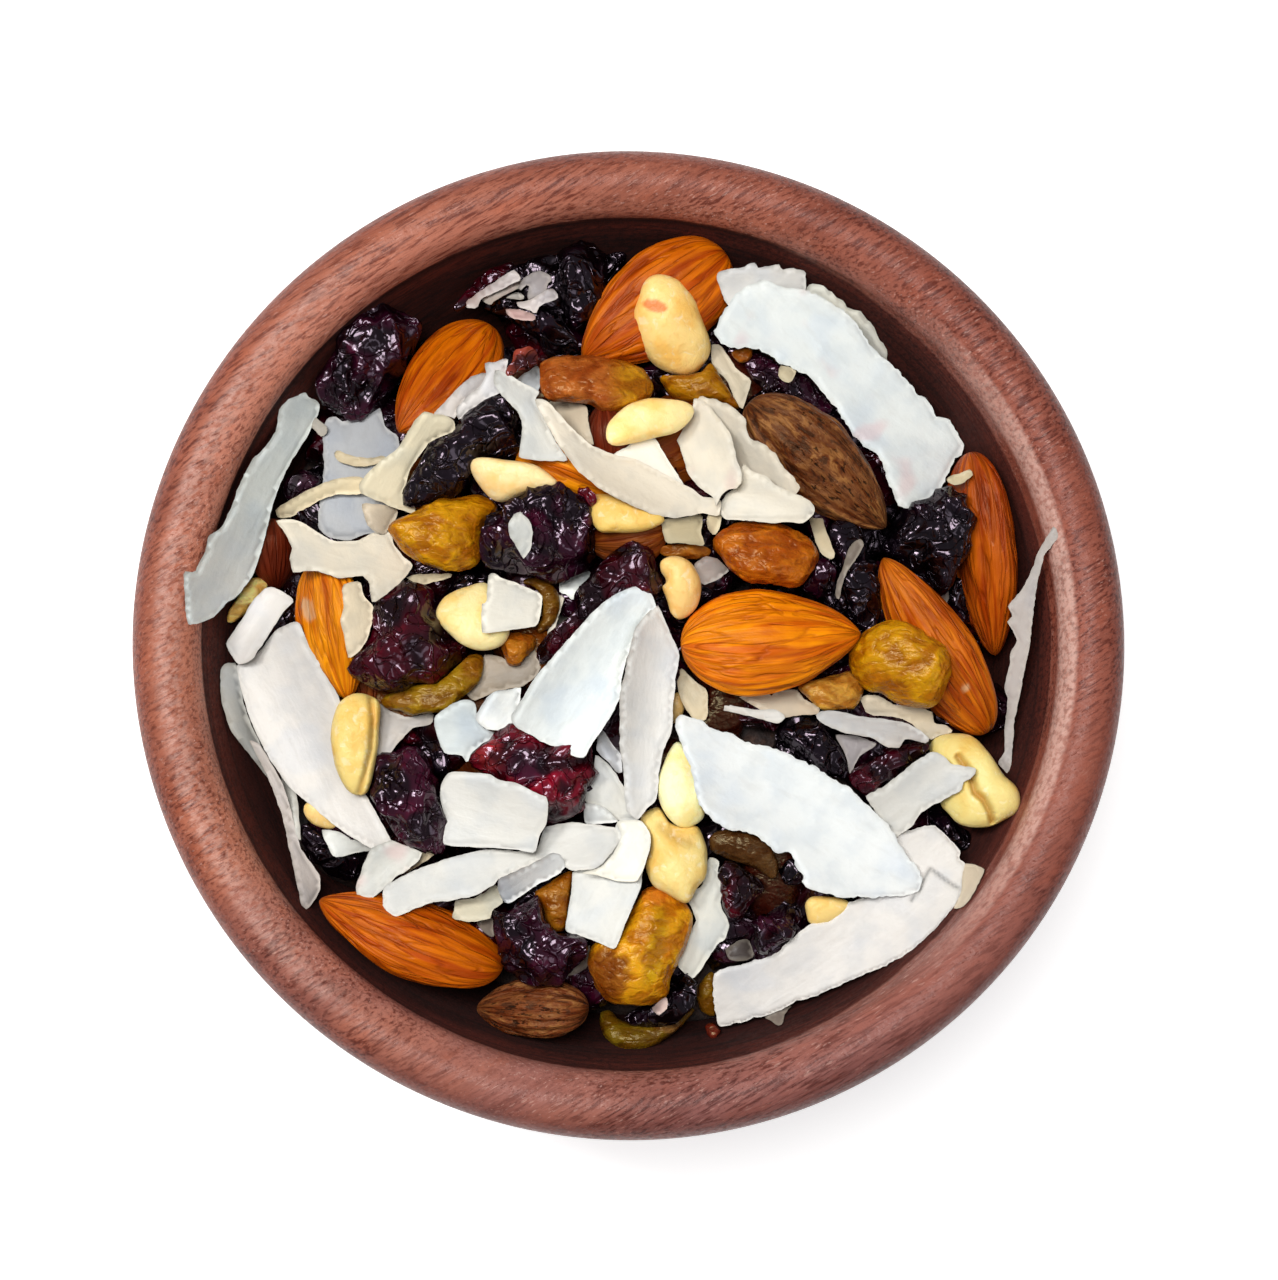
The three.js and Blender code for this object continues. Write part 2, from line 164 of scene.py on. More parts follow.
     [(249.4, 740), (259.7, 744.6), (271.2, 763), (282.7, 783.6), (289.5, 804.3), (296.4, 831.8), (301, 847.9), (305.6, 854.8), (319.4, 875.5), (320.5, 886.9), (317.1, 896.1), (307.9, 908.8), (302.2, 907.6), (297.6, 886.9), (291.8, 859.4), (287.2, 838.7), (282.7, 818.1), (275.8, 797.4), (266.6, 774.4), (255.1, 751.5)]),
    ("strip_left", 3, {'tone': 'grey'},
     [(280.4, 774.4), (296.4, 792.8), (299.2, 818.1), (301, 841), (294.6, 831.8), (288.4, 804.3)]),
    ("low_left_a", 4, {'tone': 'white'},
     [(321.7, 829.5), (337.8, 831.4), (351.5, 838.7), (374.5, 847.9), (369.9, 850.7), (351.5, 853.6), (337.8, 857.6), (332, 854.8), (325.1, 841)]),
    ("low_left_b", 5, {'tone': 'grey'},
     [(369.9, 850.2), (390.6, 839.9), (399.7, 843.3), (421.6, 852.5), (418.1, 861.7), (406.6, 870.9), (395.2, 877.8), (383.7, 889.2), (369.9, 898.9), (358.4, 897), (355.7, 889.2), (360.7, 873.2)]),
    ("low_left_c", 4, {'tone': 'cream'},
     [(420.4, 852.5), (434.2, 854.8), (413.5, 869), (402, 873.2)]),
    ("long_low", 8, {'tone': 'silver'},
     [(382.5, 898.4), (383.7, 886.9), (395.2, 880.1), (418.1, 868.6), (452.6, 857.1), (487, 849.1), (511.8, 850.7), (534.8, 851.8), (541.7, 835.8), (546.3, 826.6), (569.2, 822.4), (594.5, 824.3), (619.7, 828.9), (619.3, 840.4), (610.6, 854.1), (596.8, 867.9), (571.5, 870.7), (557.8, 861), (539.4, 861), (518.7, 870.2), (498.1, 879.4), (493.5, 885.1), (475.1, 895.5), (454.4, 900.1), (433.8, 902.3), (434.2, 901.9), (418.1, 907.6), (395.2, 916.8), (383.7, 907.6)]),
    ("strip_low", 9, {'tone': 'snow'},
     [(498.1, 879.4), (507.2, 874.8), (527.9, 865.6), (553.2, 852.5), (561.9, 856.4), (565.1, 866.8), (557.8, 874.8), (534.8, 886.3), (518.7, 897.8), (509.5, 903.5), (502.7, 901.2), (498.1, 888.6)]),
    ("cream_low", 6, {'tone': 'oat'},
     [(455.6, 900.1), (475.1, 897.8), (493.5, 885.1), (499.2, 888.6), (503.1, 902.3), (493.5, 909.2), (488.9, 918.4), (470.5, 922.1), (452.8, 918.4), (454.4, 909.2)]),
    ("grey_low", 5, {'tone': 'dim'},
     [(476.2, 921.9), (492.3, 918), (493.9, 937.2), (484.3, 932.7)]),
    ("rectangle", 9, {'tone': 'silver', 'rag': 0.06},
     [(440.7, 785.3), (447.6, 773.8), (454.4, 771.5), (488.9, 773.8), (498.1, 779.5), (516.4, 783), (539.4, 794.4), (546.3, 796.7), (548.1, 805.9), (546.3, 824.3), (539.4, 835.8), (534.8, 852.3), (516.4, 849.5), (498.1, 848.4), (472.8, 847.2), (443, 843.8), (445.3, 819.7), (440.7, 801.3)]),
    ("fold_low", 7, {'tone': 'silver', 'rag': 0.06},
     [(572.7, 872.5), (580.7, 867.9), (594.5, 861), (610.6, 847.2), (617.4, 822), (640.4, 820.8), (649.6, 833.5), (649.6, 847.2), (642.7, 870.2), (640.4, 888.6), (626.6, 920.7), (615.2, 948.7), (601.4, 943.7), (589.9, 939.1), (565.8, 931), (568.1, 911.5), (571.5, 888.6)]),
    ("fold_top", 8, {'tone': 'milk', 'rag': 0.06},
     [(617, 821.5), (640.4, 820.4), (650.1, 833.5), (650.1, 847.2), (643.2, 870.2), (636.3, 881.2), (617.4, 881.2), (596.8, 875.3), (580.7, 873), (599.1, 867.9), (612.9, 854.1), (621.6, 835.8)]),
    ("under_a", 5, {'tone': 'silver'},
     [(595.6, 755.5), (601.4, 757.8), (612.9, 769.3), (624.3, 787.7), (640.4, 817.5), (619.7, 820.9), (601.4, 810.6), (585.3, 801.4), (591, 778.5)]),
    ("under_b", 5, {'tone': 'snow'},
     [(599.1, 732.6), (603.7, 730.3), (619.7, 748.6), (622.5, 771.6), (617.4, 772.7), (608.3, 762.4), (596.3, 749.8)]),
    ("under_c", 6, {'tone': 'snow'},
     [(585.3, 803.6), (601.4, 805.9), (615.2, 817.4), (617.9, 822.4), (599.1, 823.6), (584.8, 822.4)]),
    ("blob_left", 7, {'tone': 'snow'},
     [(475.1, 716.5), (486.6, 698.1), (495.8, 691.2), (511.8, 688.9), (521, 686.6), (518.7, 709.6), (518.7, 721.1), (517.6, 728.4), (488.9, 730.3), (481.5, 725.7)]),
    ("centre", 9, {'tone': 'bright', 'cup': 1.5},
     [(511.4, 714.2), (521, 700.4), (534.8, 677.4), (548.6, 661.4), (566.9, 640.7), (585.3, 620.1), (603.7, 601.7), (619.7, 592), (633.5, 586.8), (643.9, 587.9), (651.9, 594.8), (656.5, 608.6), (647.3, 615.5), (639.3, 626.9), (633.5, 640.7), (626.6, 659.1), (622, 677.4), (619.7, 698.1), (610.6, 716.5), (601.4, 730.3), (592.2, 744), (584.2, 757.1), (573.8, 756.7), (557.8, 747.5), (544, 742.9), (530.2, 734.8), (518.7, 729.1), (511.8, 721.1)]),
    ("centre_b", 9, {'tone': 'silver', 'cup': 1.2},
     [(635.8, 626.9), (647.3, 613.2), (657.6, 605.1), (665.7, 622.3), (672.6, 638.4), (679.4, 654.5), (676, 675.2), (674.8, 691.2), (672.6, 709.6), (672.6, 728), (663.4, 750.9), (658.8, 773.9), (656.5, 799.1), (647.3, 808.3), (638.1, 819.8), (626.6, 810.6), (624.3, 789.9), (623.2, 769.3), (619.7, 746.3), (619.7, 718.8), (619.7, 695.8), (624.3, 675.2), (628.9, 652.2)]),
    ("left_c", 5, {'tone': 'pale'},
     [(433.8, 718.8), (449.8, 705), (463.6, 699.3), (475.1, 702.7), (477.4, 716.5), (484.3, 728), (495.8, 732.6), (511.8, 728), (500.4, 734.8), (482, 744), (471.7, 753.2), (467.1, 762.9), (461.3, 755.5), (445.3, 753.2), (438.4, 739.4)]),
    ("left_d", 3, {'tone': 'ash3'},
     [(484.3, 654.5), (500.4, 656.8), (516.4, 663.7), (534.8, 649.9), (541.7, 663.7), (534.8, 677.4), (521, 686.6), (495.8, 691.2), (475.1, 700.4), (465.9, 693.5), (475.1, 682), (483.1, 670.6)]),
    ("square_b", 8, {'tone': 'milk', 'rag': 0.08},
     [(482, 604), (486.6, 601.7), (488.4, 575.3), (495.8, 573.7), (500.4, 577.6), (511.8, 581), (540.5, 593.6), (542.1, 601.7), (539.4, 620.1), (535.9, 626.2), (516.4, 629.2), (495.8, 632), (482, 632)]),
    ("bit_a", 4, {'tone': 'snow'},
     [(558.9, 581), (566.9, 577.6), (590.4, 570.7), (587.6, 578.7), (576.1, 590.2), (572.7, 600.5), (566.9, 594.8), (560.1, 592.5)]),
    ("bit_b", 4, {'tone': 'warm'},
     [(558.9, 594.8), (564, 598.9), (558.2, 617.8), (552, 637.7), (547, 633.8), (553.2, 617.8)]),
    ("bit_c", 4, {'tone': 'ash'},
     [(694.4, 563.8), (704.7, 556.9), (716.2, 558.1), (729.3, 570.7), (716.2, 579.9), (704.7, 584.9), (700.1, 581), (695.5, 571.8)]),
    ("pink_bit", 5, {'tone': 'straw'},
     [(676.7, 677.4), (681.7, 668.3), (695.5, 682), (707.4, 691.2), (707, 718.8), (695.5, 721.1), (686.3, 709.6), (679.4, 695.8)]),
    ("big_low_right", 9, {'tone': 'pale2', 'rag': 0.25, 'cup': 1.4},
     [(675.5, 722.9), (679.4, 714.2), (686.3, 716.5), (702.4, 721.1), (706.9, 725.7), (713.8, 729.2), (734.4, 734.9), (745.9, 741.8), (766.6, 746.4), (784.9, 752.1), (798.7, 760.2), (814.8, 765.9), (828.6, 776.2), (846.9, 786.6), (860.7, 798.1), (874.5, 811.8), (888.3, 825.6), (897.4, 839.4), (906.6, 855.5), (917, 866.9), (922.2, 878.4), (919.3, 889.9), (906.6, 895.6), (883.7, 896.8), (860.7, 897.9), (837.8, 896.8), (814.8, 891), (804.5, 886.5), (801, 880.7), (803.8, 876.1), (796.4, 866.9), (791.8, 855.5), (787.2, 851.3), (778.1, 854.3), (768.9, 846.3), (760.8, 838.2), (745.9, 832.5), (727.6, 829.1), (713.8, 821), (702.3, 809.5), (695.4, 795.8), (693.2, 776.2), (686.3, 755.5), (678.3, 737.1)]),
    ("band_low_right", 6, {'tone': 'silver', 'rag': 0.18, 'cup': 1.2, 'fine': 1},
     [(714.2, 973.7), (725.3, 967.5), (741.3, 964.5), (755.1, 959.9), (775.8, 953), (791.8, 938.1), (810.2, 924.3), (828.6, 919.7), (846.9, 903.7), (872.2, 895.1), (890, 888), (900, 876), (898, 862), (890, 850), (884, 838), (896.7, 833), (911.7, 829.5), (920, 826.7), (933, 825.6), (942, 831), (950, 839.4), (961.2, 851), (958.6, 858.1), (965.5, 865.1), (964.5, 881.9), (958.7, 903.6), (949.4, 914.6), (933, 932.3), (914.4, 948.6), (888.3, 964.1), (866.5, 973.6), (842.3, 984), (819.4, 994.2), (807.6, 998.7), (796.4, 1001.2), (780.4, 1010.4), (757.4, 1017.5), (734.4, 1023.2), (720.7, 1027), (716.1, 1016.2), (713.3, 995.5)]),
    ("tail_right", 4, {'tone': 'bone'},
     [(964, 863.5), (984, 869.2), (975.5, 889.9), (964, 906), (953.7, 908.7), (961.7, 889.9)]),
    ("band_right", 7, {'tone': 'grey', 'rag': 0.15},
     [(865.8, 795.8), (883.7, 786.6), (906.6, 768.2), (929.6, 752.1), (938.8, 753.3), (952.6, 763.6), (976, 768.2), (974.4, 775.1), (964, 782), (959.4, 791.2), (943.4, 800.4), (931.9, 806.1), (920.4, 814.1), (913.5, 824.5), (902, 833.6), (895.2, 837.6), (883.7, 823.3), (874.5, 809.5)]),
    ("thin_a", 6, {'tone': 'grey'},
     [(815.9, 715.3), (821.7, 710.7), (842.3, 711.9), (860.7, 716.5), (883.7, 718.8), (906.6, 723.4), (920.4, 730.3), (929.6, 739.4), (925, 743.1), (911.2, 739.4), (904.3, 739.4), (899.7, 747.9), (888.3, 747.5), (881.4, 744), (869.9, 737.1), (846.9, 733.7), (828.6, 726.8), (819.4, 721.1)]),
    ("thin_b", 5, {'tone': 'bone'},
     [(856.1, 714.2), (858.4, 700.4), (865.3, 695.4), (879.1, 695.8), (892.9, 703.9), (915.8, 707.3), (931.9, 711.9), (934.2, 723.4), (943.4, 724.5), (950.7, 728), (952.6, 732.6), (938.8, 735.3), (929.6, 739.4), (918.1, 730.3), (911.2, 723.4), (892.9, 716.5)]),
    ("thin_c", 6, {'tone': 'grey'},
     [(713.3, 703.9), (718.4, 701.1), (734.4, 706.1), (757.4, 709.6), (775.8, 709.6), (785.4, 716.5), (778.1, 723.8), (764.3, 719.9), (741.3, 714.2), (718.4, 709.6)]),
    ("thin_d", 4, {'tone': 'bone'},
     [(739, 697), (757.4, 694.7), (780.4, 691.2), (796.4, 689.4), (803.3, 698.1), (819.4, 707.3), (817.1, 714.2), (798.7, 715.3), (775.8, 718.8), (759.7, 709.6)]),
    ("vee", 3, {'tone': 'dim2'},
     [(835.5, 734.8), (856.1, 736), (876.8, 744), (860.7, 755.5), (853.8, 767), (850.4, 776.6), (846.9, 760.1), (842.3, 748.6)]),
    ("strip_right", 6, {'tone': 'straw'},
     [(808.6, 514.4), (814.8, 503.6), (821.7, 516.7), (828.6, 537.4), (835, 553.5), (832, 559.7), (824, 555.8), (817.1, 546.6), (812.5, 530.5)]),
    ("sliver_right", 5, {'tone': 'dim'},
     [(860.7, 539), (863.9, 544.3), (858.4, 555.8), (846.9, 571.8), (842.3, 585.6), (838.9, 599.8), (835, 594.8), (836.6, 583.3), (842.3, 569.5), (846.9, 553.5), (853.8, 542)]),
    ("rim_right", 8, {'tone': 'ash', 'lie': 'rimr'},
     [(1053.6, 526.6), (1057.5, 537.4), (1044.4, 555.8), (1036.8, 585.6), (1032.9, 617.8), (1028.3, 652.2), (1021.4, 686.6), (1014.5, 721.1), (1012.2, 755.5), (1008.8, 774.3), (998, 762.4), (1004.9, 750.9), (1004.2, 728), (1007.7, 700.4), (1004.2, 686.6), (1009.9, 663.7), (1009.9, 654.5), (1016.8, 640.7), (1013.4, 631.5), (1007.2, 622.3), (1012.2, 615.5), (1008.3, 605.1), (1021.4, 590.2), (1030.6, 571.8), (1039.8, 548.9)]),
    ("deep_a", 1, {'tone': 'dim'},
     [(936.5, 590.2), (948.4, 584), (948.4, 599.4), (943.4, 606.7), (936.5, 594.8)]),
    ("curl", 7, {'tone': 'straw'},
     [(946.8, 479), (950.3, 476.2), (959.4, 473.2), (970.5, 469.3), (972.5, 475.1), (964, 482.4), (954.8, 485.2), (948, 482.4)]),
    ("right_of_raisin", 4, {'tone': 'silver3', 'rag': 0.15},
     [(709.3, 857.1), (718.9, 861), (717.3, 870.2), (723.5, 888.6), (720.3, 904.6), (729.3, 923), (725.4, 939.1), (718.5, 943.7), (707, 959.7), (700.1, 971.2), (690.9, 978.6), (684, 973.5), (677.8, 964.3), (686.3, 943.7), (695.5, 920.7), (690.9, 906.9), (688.6, 897.8), (702.4, 884), (707, 867.9)]),
    ("deep_b", 1, {'tone': 'deep'},
     [(725.3, 949.6), (739, 940.4), (748.2, 939.3), (754, 955.3), (743.6, 961.1), (729.8, 959.9)]),
    ("deep_c", 1, {'tone': 'dim'},
     [(764.3, 1016.2), (791.8, 1004.7), (784.9, 1013.9), (783.1, 1023.1), (778.1, 1025.8), (768.9, 1019.6)]),
    ("deep_d", 3, {'tone': 'dim'},
     [(566.9, 977), (578.4, 964.3), (589.9, 943.7), (588.8, 973.5), (578.4, 978.6)]),
    ("pink_b", 6, {'tone': 'pink'},
     [(651.9, 1008), (666.8, 996.5), (667.3, 1008), (658.8, 1015.3)]),
    ("left_e", 3, {'tone': 'ash'},
     [(378.1, 703.4), (389.6, 710.3), (410.3, 717.1), (433.2, 712.6), (430.9, 724), (412.6, 728.6), (398.8, 742.4), (389.6, 753.9), (380.4, 756.2), (373.5, 758.9), (375.8, 735.5)]),
    ("pink_c", 5, {'tone': 'cream'},
     [(406.4, 577.6), (412.6, 574.8), (449.7, 573.4), (450.7, 577.3), (435.5, 581.7), (424, 584.4), (410.3, 580.8)]),
    ("oval_on_berry", 9, {'tone': 'grey', 'small': 1},
     [(508.4, 523.6), (513.7, 514.9), (521, 512.1), (529.7, 521.3), (532.5, 532.8), (530.7, 548.9), (523.3, 558.5), (516.4, 546.6), (509.5, 535.1)]),
    ("bit_on_berry", 8, {'tone': 'straw', 'small': 1},
     [(778.1, 375.6), (780.4, 365.8), (791.8, 367.6), (796.4, 371), (790.7, 382.5), (782.7, 381.4)]),
]
ALMONDS = [
    ("a_top", 5, (726.5, 254), (581.9, 360.7), 106.1, 8.0, 0, "amber"),
    ("a_upleft", 3, (490.6, 318.4), (399.9, 437.8), 87.2, 7.5, 0, "amber"),
    ("a_dark", 6, (747.1, 404.3), (887.1, 526.9), 88.4, 8.5, 12, "dark"),
    ("a_wall", 5, (967.5, 452.6), (998, 656.3), 66.6, 7.5, 35, "brown4"),
    ("a_bright", 8, (680.8, 646.5), (861.2, 633.4), 107.9, 8.4, 0, "bright"),
    ("a_right", 7, (989.7, 733), (880.9, 558.8), 74.6, 8.0, -15, "brown2"),
    ("a_left", 3, (318.4, 558.7), (348.7, 699.2), 73.5, 7.5, 0, "bright2"),
    ("a_lowleft", 4, (503.1, 969.6), (319.4, 900.3), 80.8, 8.0, 0, "amber"),
    ("a_small", 4, (589.4, 1006.8), (475.8, 1009.1), 60.2, 8.0, 0, "dark2"),
    ("a_sliver", 3, (516.4, 457.1), (623.2, 497.3), 59.7, 7.0, 0, "bright2"),
    ("a_sliver2", 3, (666.8, 530.6), (585.3, 542.1), 59.7, 7.0, 0, "brown3"),
    ("a_sliver3", 2, (610.6, 470.9), (603.7, 402), 52.8, 7.0, 0, "red"),
    ("a_deepleft", 1, (270.2, 517.4), (274.8, 589.7), 57.4, 7.0, 0, "red"),
]
LUMPS = [
    ("cran", "c_a", 5, 0.75, "plum",
     [(366.6, 309.2), (380.4, 306.5), (403.4, 309.2), (415.3, 318.4), (422.2, 332.2), (415.3, 355.2), (408, 371.2), (393, 381.6), (381.6, 403.4), (367.8, 412.6), (350.6, 419.9), (339.1, 415.3), (327.6, 405.7), (320.3, 389.6), (322.6, 371.2), (329.4, 355.2), (334, 339.1), (350.1, 323)]),
    ("cran", "c_b", 5, 0.80, "black",
     [(424.6, 450.3), (433.8, 441.1), (452.1, 434.2), (465.9, 418.1), (482, 402), (495.8, 394.2), (510, 402), (519.2, 415.8), (521.5, 431.9), (519.2, 450.3), (511.8, 458.3), (479.7, 466.3), (469.4, 477.8), (461.3, 489.7), (447.6, 501.2), (429.2, 503.5), (413.1, 508.1), (402.3, 493.9), (413.1, 470.9)]),
    ("cran", "c_c", 7, 0.75, "plum",
     [(475.1, 546.6), (476.9, 530.5), (488.9, 514.4), (507.2, 500.2), (523.3, 491), (546.3, 486.2), (566.9, 490.3), (585.8, 498.4), (594.9, 512.1), (599.5, 532.8), (601.8, 546.6), (590.4, 560.4), (578.4, 572.3), (557.8, 576.9), (530.2, 575.5), (507.2, 570), (486.6, 567.7), (476.9, 558.1)]),
    ("cran", "c_d", 5, 0.80, "wine",
     [(652.3, 558.1), (661.5, 578.7), (659.2, 594.8), (635.8, 604), (603.7, 626.9), (569.2, 652.2), (548.6, 664.1), (535.9, 659.5), (536.6, 640.7), (557.8, 626.9), (576.1, 608.6), (585.3, 583.3), (603.7, 558.1), (624.3, 545.2), (640.4, 546.4)]),
    ("cran", "c_e", 6, 0.70, "wine",
     [(406.8, 578.9), (428.6, 583.5), (433.2, 602.3), (437.8, 620.7), (452, 634.5), (465.8, 650.6), (463.1, 662.5), (447, 674), (428.6, 680.9), (412.6, 683.9), (401.1, 691.4), (378.1, 692.3), (362, 687.8), (345.5, 671.2), (348.3, 662), (362, 650.6), (370.1, 641.4), (373.5, 620.7), (374.7, 609.2), (382.7, 595.5), (396.5, 587.7)]),
    ("cran", "c_f", 6, 0.75, "plum2",
     [(365.8, 795.1), (370.4, 779), (374.5, 765.3), (390.6, 753.8), (406.6, 748.7), (425, 751.5), (432.3, 760.7), (436.9, 779), (440.6, 799.7), (446.4, 818.1), (443.8, 838.7), (438.8, 853.2), (420.4, 848.4), (402, 841.5), (390.6, 830), (376.8, 813.9)]),
    ("cran", "c_g", 7, 0.70, "red",
     [(470.1, 764.7), (479.2, 745.9), (498.1, 734.4), (523.3, 725.7), (557.8, 737.1), (592.2, 739.4), (596.1, 762.4), (592.7, 787.7), (584.6, 808.3), (575, 821.6), (555.5, 824.4), (539.4, 815.2), (516.4, 796.8), (488.9, 776.6)]),
    ("cran", "c_h", 7, 0.75, "plum",
     [(493.5, 908.8), (502.7, 912.7), (516.4, 908.1), (530.2, 897.8), (539.8, 899.6), (544.4, 920.7), (555.5, 932.2), (578.4, 936.3), (586.2, 946), (581.2, 959.7), (566.9, 976.3), (555.5, 985.5), (534.8, 986.6), (521, 978.6), (504.9, 967.1), (499.9, 948.3), (494.4, 929.9)]),
    ("cran", "c_i", 6, 0.70, "black",
     [(886.7, 539.7), (895.2, 523.6), (906.6, 509.8), (927.3, 498.4), (943.4, 483), (955.3, 484.6), (966.8, 500.7), (973.7, 523.6), (974.8, 544.3), (969.1, 558.1), (959.9, 574.6), (952.6, 586.1), (938.8, 593), (925, 579.2), (906.6, 565.4), (894.7, 551.6)]),
    ("cran", "c_j", 3, 0.70, "black",
     [(828.1, 524.8), (844.6, 520.9), (861.2, 532.8), (870.4, 555.8), (879.5, 576.4), (881.8, 604), (875.6, 627.4), (864.2, 630.8), (849.2, 615.9), (839.6, 599.4), (835, 571.8), (828.1, 548.9)]),
    ("cran", "c_k", 4, 0.80, "plum",
     [(819.4, 559.9), (833.6, 564.9), (835.9, 578.7), (829, 593), (814.8, 595.3), (800.6, 588.4), (810.2, 571.8)]),
    ("cran", "c_l", 4, 0.90, "plum",
     [(745.5, 360.7), (755.1, 352.2), (766.6, 353.4), (778.1, 364.8), (798.7, 371.7), (814.8, 380.9), (829, 397.4), (835.9, 411.2), (831.3, 419.7), (814.8, 410.1), (798.7, 404.3), (775.8, 399.7), (758.5, 387.1), (747.8, 373.3)]),
    ("cran", "c_m", 4, 0.80, "black",
     [(495.8, 298.7), (511.8, 298.3), (539.4, 309.7), (557.8, 307.4), (567.4, 321.7), (576.6, 337.8), (578.9, 352), (557.8, 358.9), (544, 352), (534.8, 338.2), (518.7, 329), (506.8, 319.4)]),
    ("cran", "c_n", 3, 0.90, "black",
     [(578, 284.9), (585.3, 273.5), (599.1, 259.2), (615.2, 252.3), (627.8, 254.6), (617.4, 273.5), (601.4, 296.4), (591, 305.6), (580.7, 298.7)]),
    ("cran", "c_o", 5, 1.00, "wine",
     [(454, 303.3), (465.9, 289.1), (484.3, 273), (502.7, 265), (515.7, 262.7), (512.3, 271.2), (495.8, 280.8), (477.4, 294.6), (465.9, 304.9), (456.3, 308.4)]),
    ("cran", "c_p", 5, 0.90, "redbrown2",
     [(517.6, 351.5), (525.6, 346.9), (535.3, 351.5), (537.6, 360.7), (526.1, 368.1), (518.7, 370.4), (509.5, 377.2), (506.8, 369.9), (514.1, 360.7)]),
    ("cran", "c_q", 2, 0.80, "plum",
     [(283.5, 480.7), (297.8, 472.2), (311.5, 471), (321.9, 480.7), (309.2, 492.1), (288.6, 500.2), (280.8, 493.3)]),
    ("cran", "c_r", 4, 0.80, "black",
     [(777.1, 733.8), (784.9, 726.4), (798.7, 719.3), (814.8, 721.8), (828.6, 731), (840.5, 745.3), (848.8, 761.3), (847.6, 780.2), (828.6, 775.6), (814.8, 765.9), (798.7, 754.9), (784.9, 745.7)]),
    ("cran", "c_s", 5, 0.90, "wine",
     [(848.8, 780.2), (858.4, 765.9), (874.5, 752.1), (895.2, 743.6), (907.8, 744.8), (920.4, 741.4), (932.3, 745.3), (930.1, 750.3), (913.5, 759.5), (897.9, 768.7), (891, 780.2), (879.1, 789.3), (867.6, 798.5), (858, 791.6)]),
    ("cran", "c_t", 4, 0.80, "wine",
     [(717.9, 866.9), (734.4, 861.9), (748.7, 866.9), (762.4, 878.4), (765.2, 889.9), (751, 901.8), (741.8, 915.6), (729.8, 915.6), (722.5, 903.7), (721.1, 885.3)]),
    ("cran", "c_u", 3, 0.80, "plum2",
     [(752.3, 926.6), (759.2, 914.7), (776.2, 919.3), (792.3, 926.6), (796.9, 933.5), (776.2, 950.1), (759.7, 954.6), (750.1, 942.7)]),
    ("cran", "c_w", 2, 0.90, "black",
     [(430.5, 753.9), (442.4, 751.1), (450.2, 760.8), (445.6, 775), (435.5, 770.4)]),
    ("cran", "c_x", 2, 0.90, "wine",
     [(400.6, 735.5), (410.3, 728.2), (422.2, 735.5), (419.9, 752), (402.9, 749.7)]),
    ("cran", "c_y", 2, 0.80, "black",
     [(924.5, 816.4), (934.2, 806.8), (944.3, 811.8), (955.8, 825.6), (971.8, 832.5), (964.9, 849), (950.3, 844.4), (934.2, 826.1)]),
    ("cran", "c_z", 2, 0.70, "black",
     [(300.6, 822.2), (321.7, 831.8), (328.6, 850.2), (337.8, 857.1), (369.9, 850.2), (360.7, 875.9), (328.6, 873.6), (312.5, 855.3), (300.6, 846.1)]),
    ("cran", "c_1", 6, 1.00, "red",
     [(578.4, 491.5), (586.5, 488.7), (595.6, 496.1), (593.3, 505.3), (586.5, 505.7)]),
    ("cran", "c_2", 3, 0.80, "black",
     [(454, 585.6), (465.9, 571.4), (487, 571.4), (485.2, 581.5), (461.3, 588.4)]),
    ("cran", "c_3", 2, 0.90, "black",
     [(778.8, 869.2), (789.5, 857.3), (799.2, 866.9), (801.9, 881.2), (787.2, 883.5)]),
    ("gold", "r_a", 7, 0.80, "twotone",
     [(540.1, 376.8), (542.8, 362.6), (557.8, 356.1), (576.1, 356.1), (594.5, 354.5), (615.2, 358.4), (633.5, 362.6), (647.8, 372.2), (652.8, 388.3), (645.5, 402.5), (631.2, 409.4), (615.2, 413.1), (601.4, 413.1), (589.9, 404.8), (566.9, 403.6), (548.6, 402.5), (540.1, 392.9)]),
    ("gold", "r_b", 6, 0.90, "olive5",
     [(658.3, 374.5), (677.1, 375.6), (700.1, 372.2), (711.6, 362.6), (723.5, 381.4), (732.7, 395.2), (741.9, 411.7), (725.4, 404.8), (704.7, 400.2), (690.9, 402.5), (674.8, 397.9), (665.2, 388.3)]),
    ("gold", "r_c", 6, 0.75, "gl2",
     [(389.1, 528.9), (396.5, 521.5), (414.8, 512.8), (435.5, 501.3), (456.2, 497.4), (476.8, 494), (493.4, 499.7), (498.4, 508.2), (486.9, 522), (481.4, 538.1), (481.4, 554.1), (475, 564.5), (456.2, 570.9), (435.5, 568.6), (414.8, 559.4), (398.8, 547.7)]),
    ("gold", "r_d", 7, 0.70, "gl2",
     [(849.9, 654.5), (856.1, 638), (869.9, 626.5), (890.6, 620.7), (908.9, 624.2), (925, 635.7), (941.5, 647.6), (949.8, 668.3), (943.8, 687.1), (934.6, 705.5), (915.8, 706.8), (897.4, 703.2), (883.7, 694), (869.9, 690.1), (858.4, 680.2), (851.1, 668.3)]),
    ("gold", "r_e", 5, 0.80, "tan",
     [(796, 686.6), (814.8, 679.3), (837.8, 674.7), (851.5, 670.1), (863.9, 684.3), (863.9, 693.5), (854.3, 707.8), (835.5, 710.3), (821.7, 710.1), (807.9, 698.6)]),
    ("gold", "r_f", 5, 0.70, "amber",
     [(649.6, 885.8), (661.1, 884.7), (675.3, 895.5), (689.1, 906.9), (692.8, 920.7), (686.8, 943.7), (677.6, 962.5), (669.6, 978.6), (668.4, 992.3), (654.2, 1003.8), (633.5, 1006.1), (612.9, 1003.8), (599.1, 992.3), (589.9, 974), (587.1, 955.2), (594.5, 941.4), (615.2, 934.5), (624.3, 920.7), (635.8, 902.3), (641.6, 890.4)]),
    ("gold", "r_g", 4, 0.90, "olive3b",
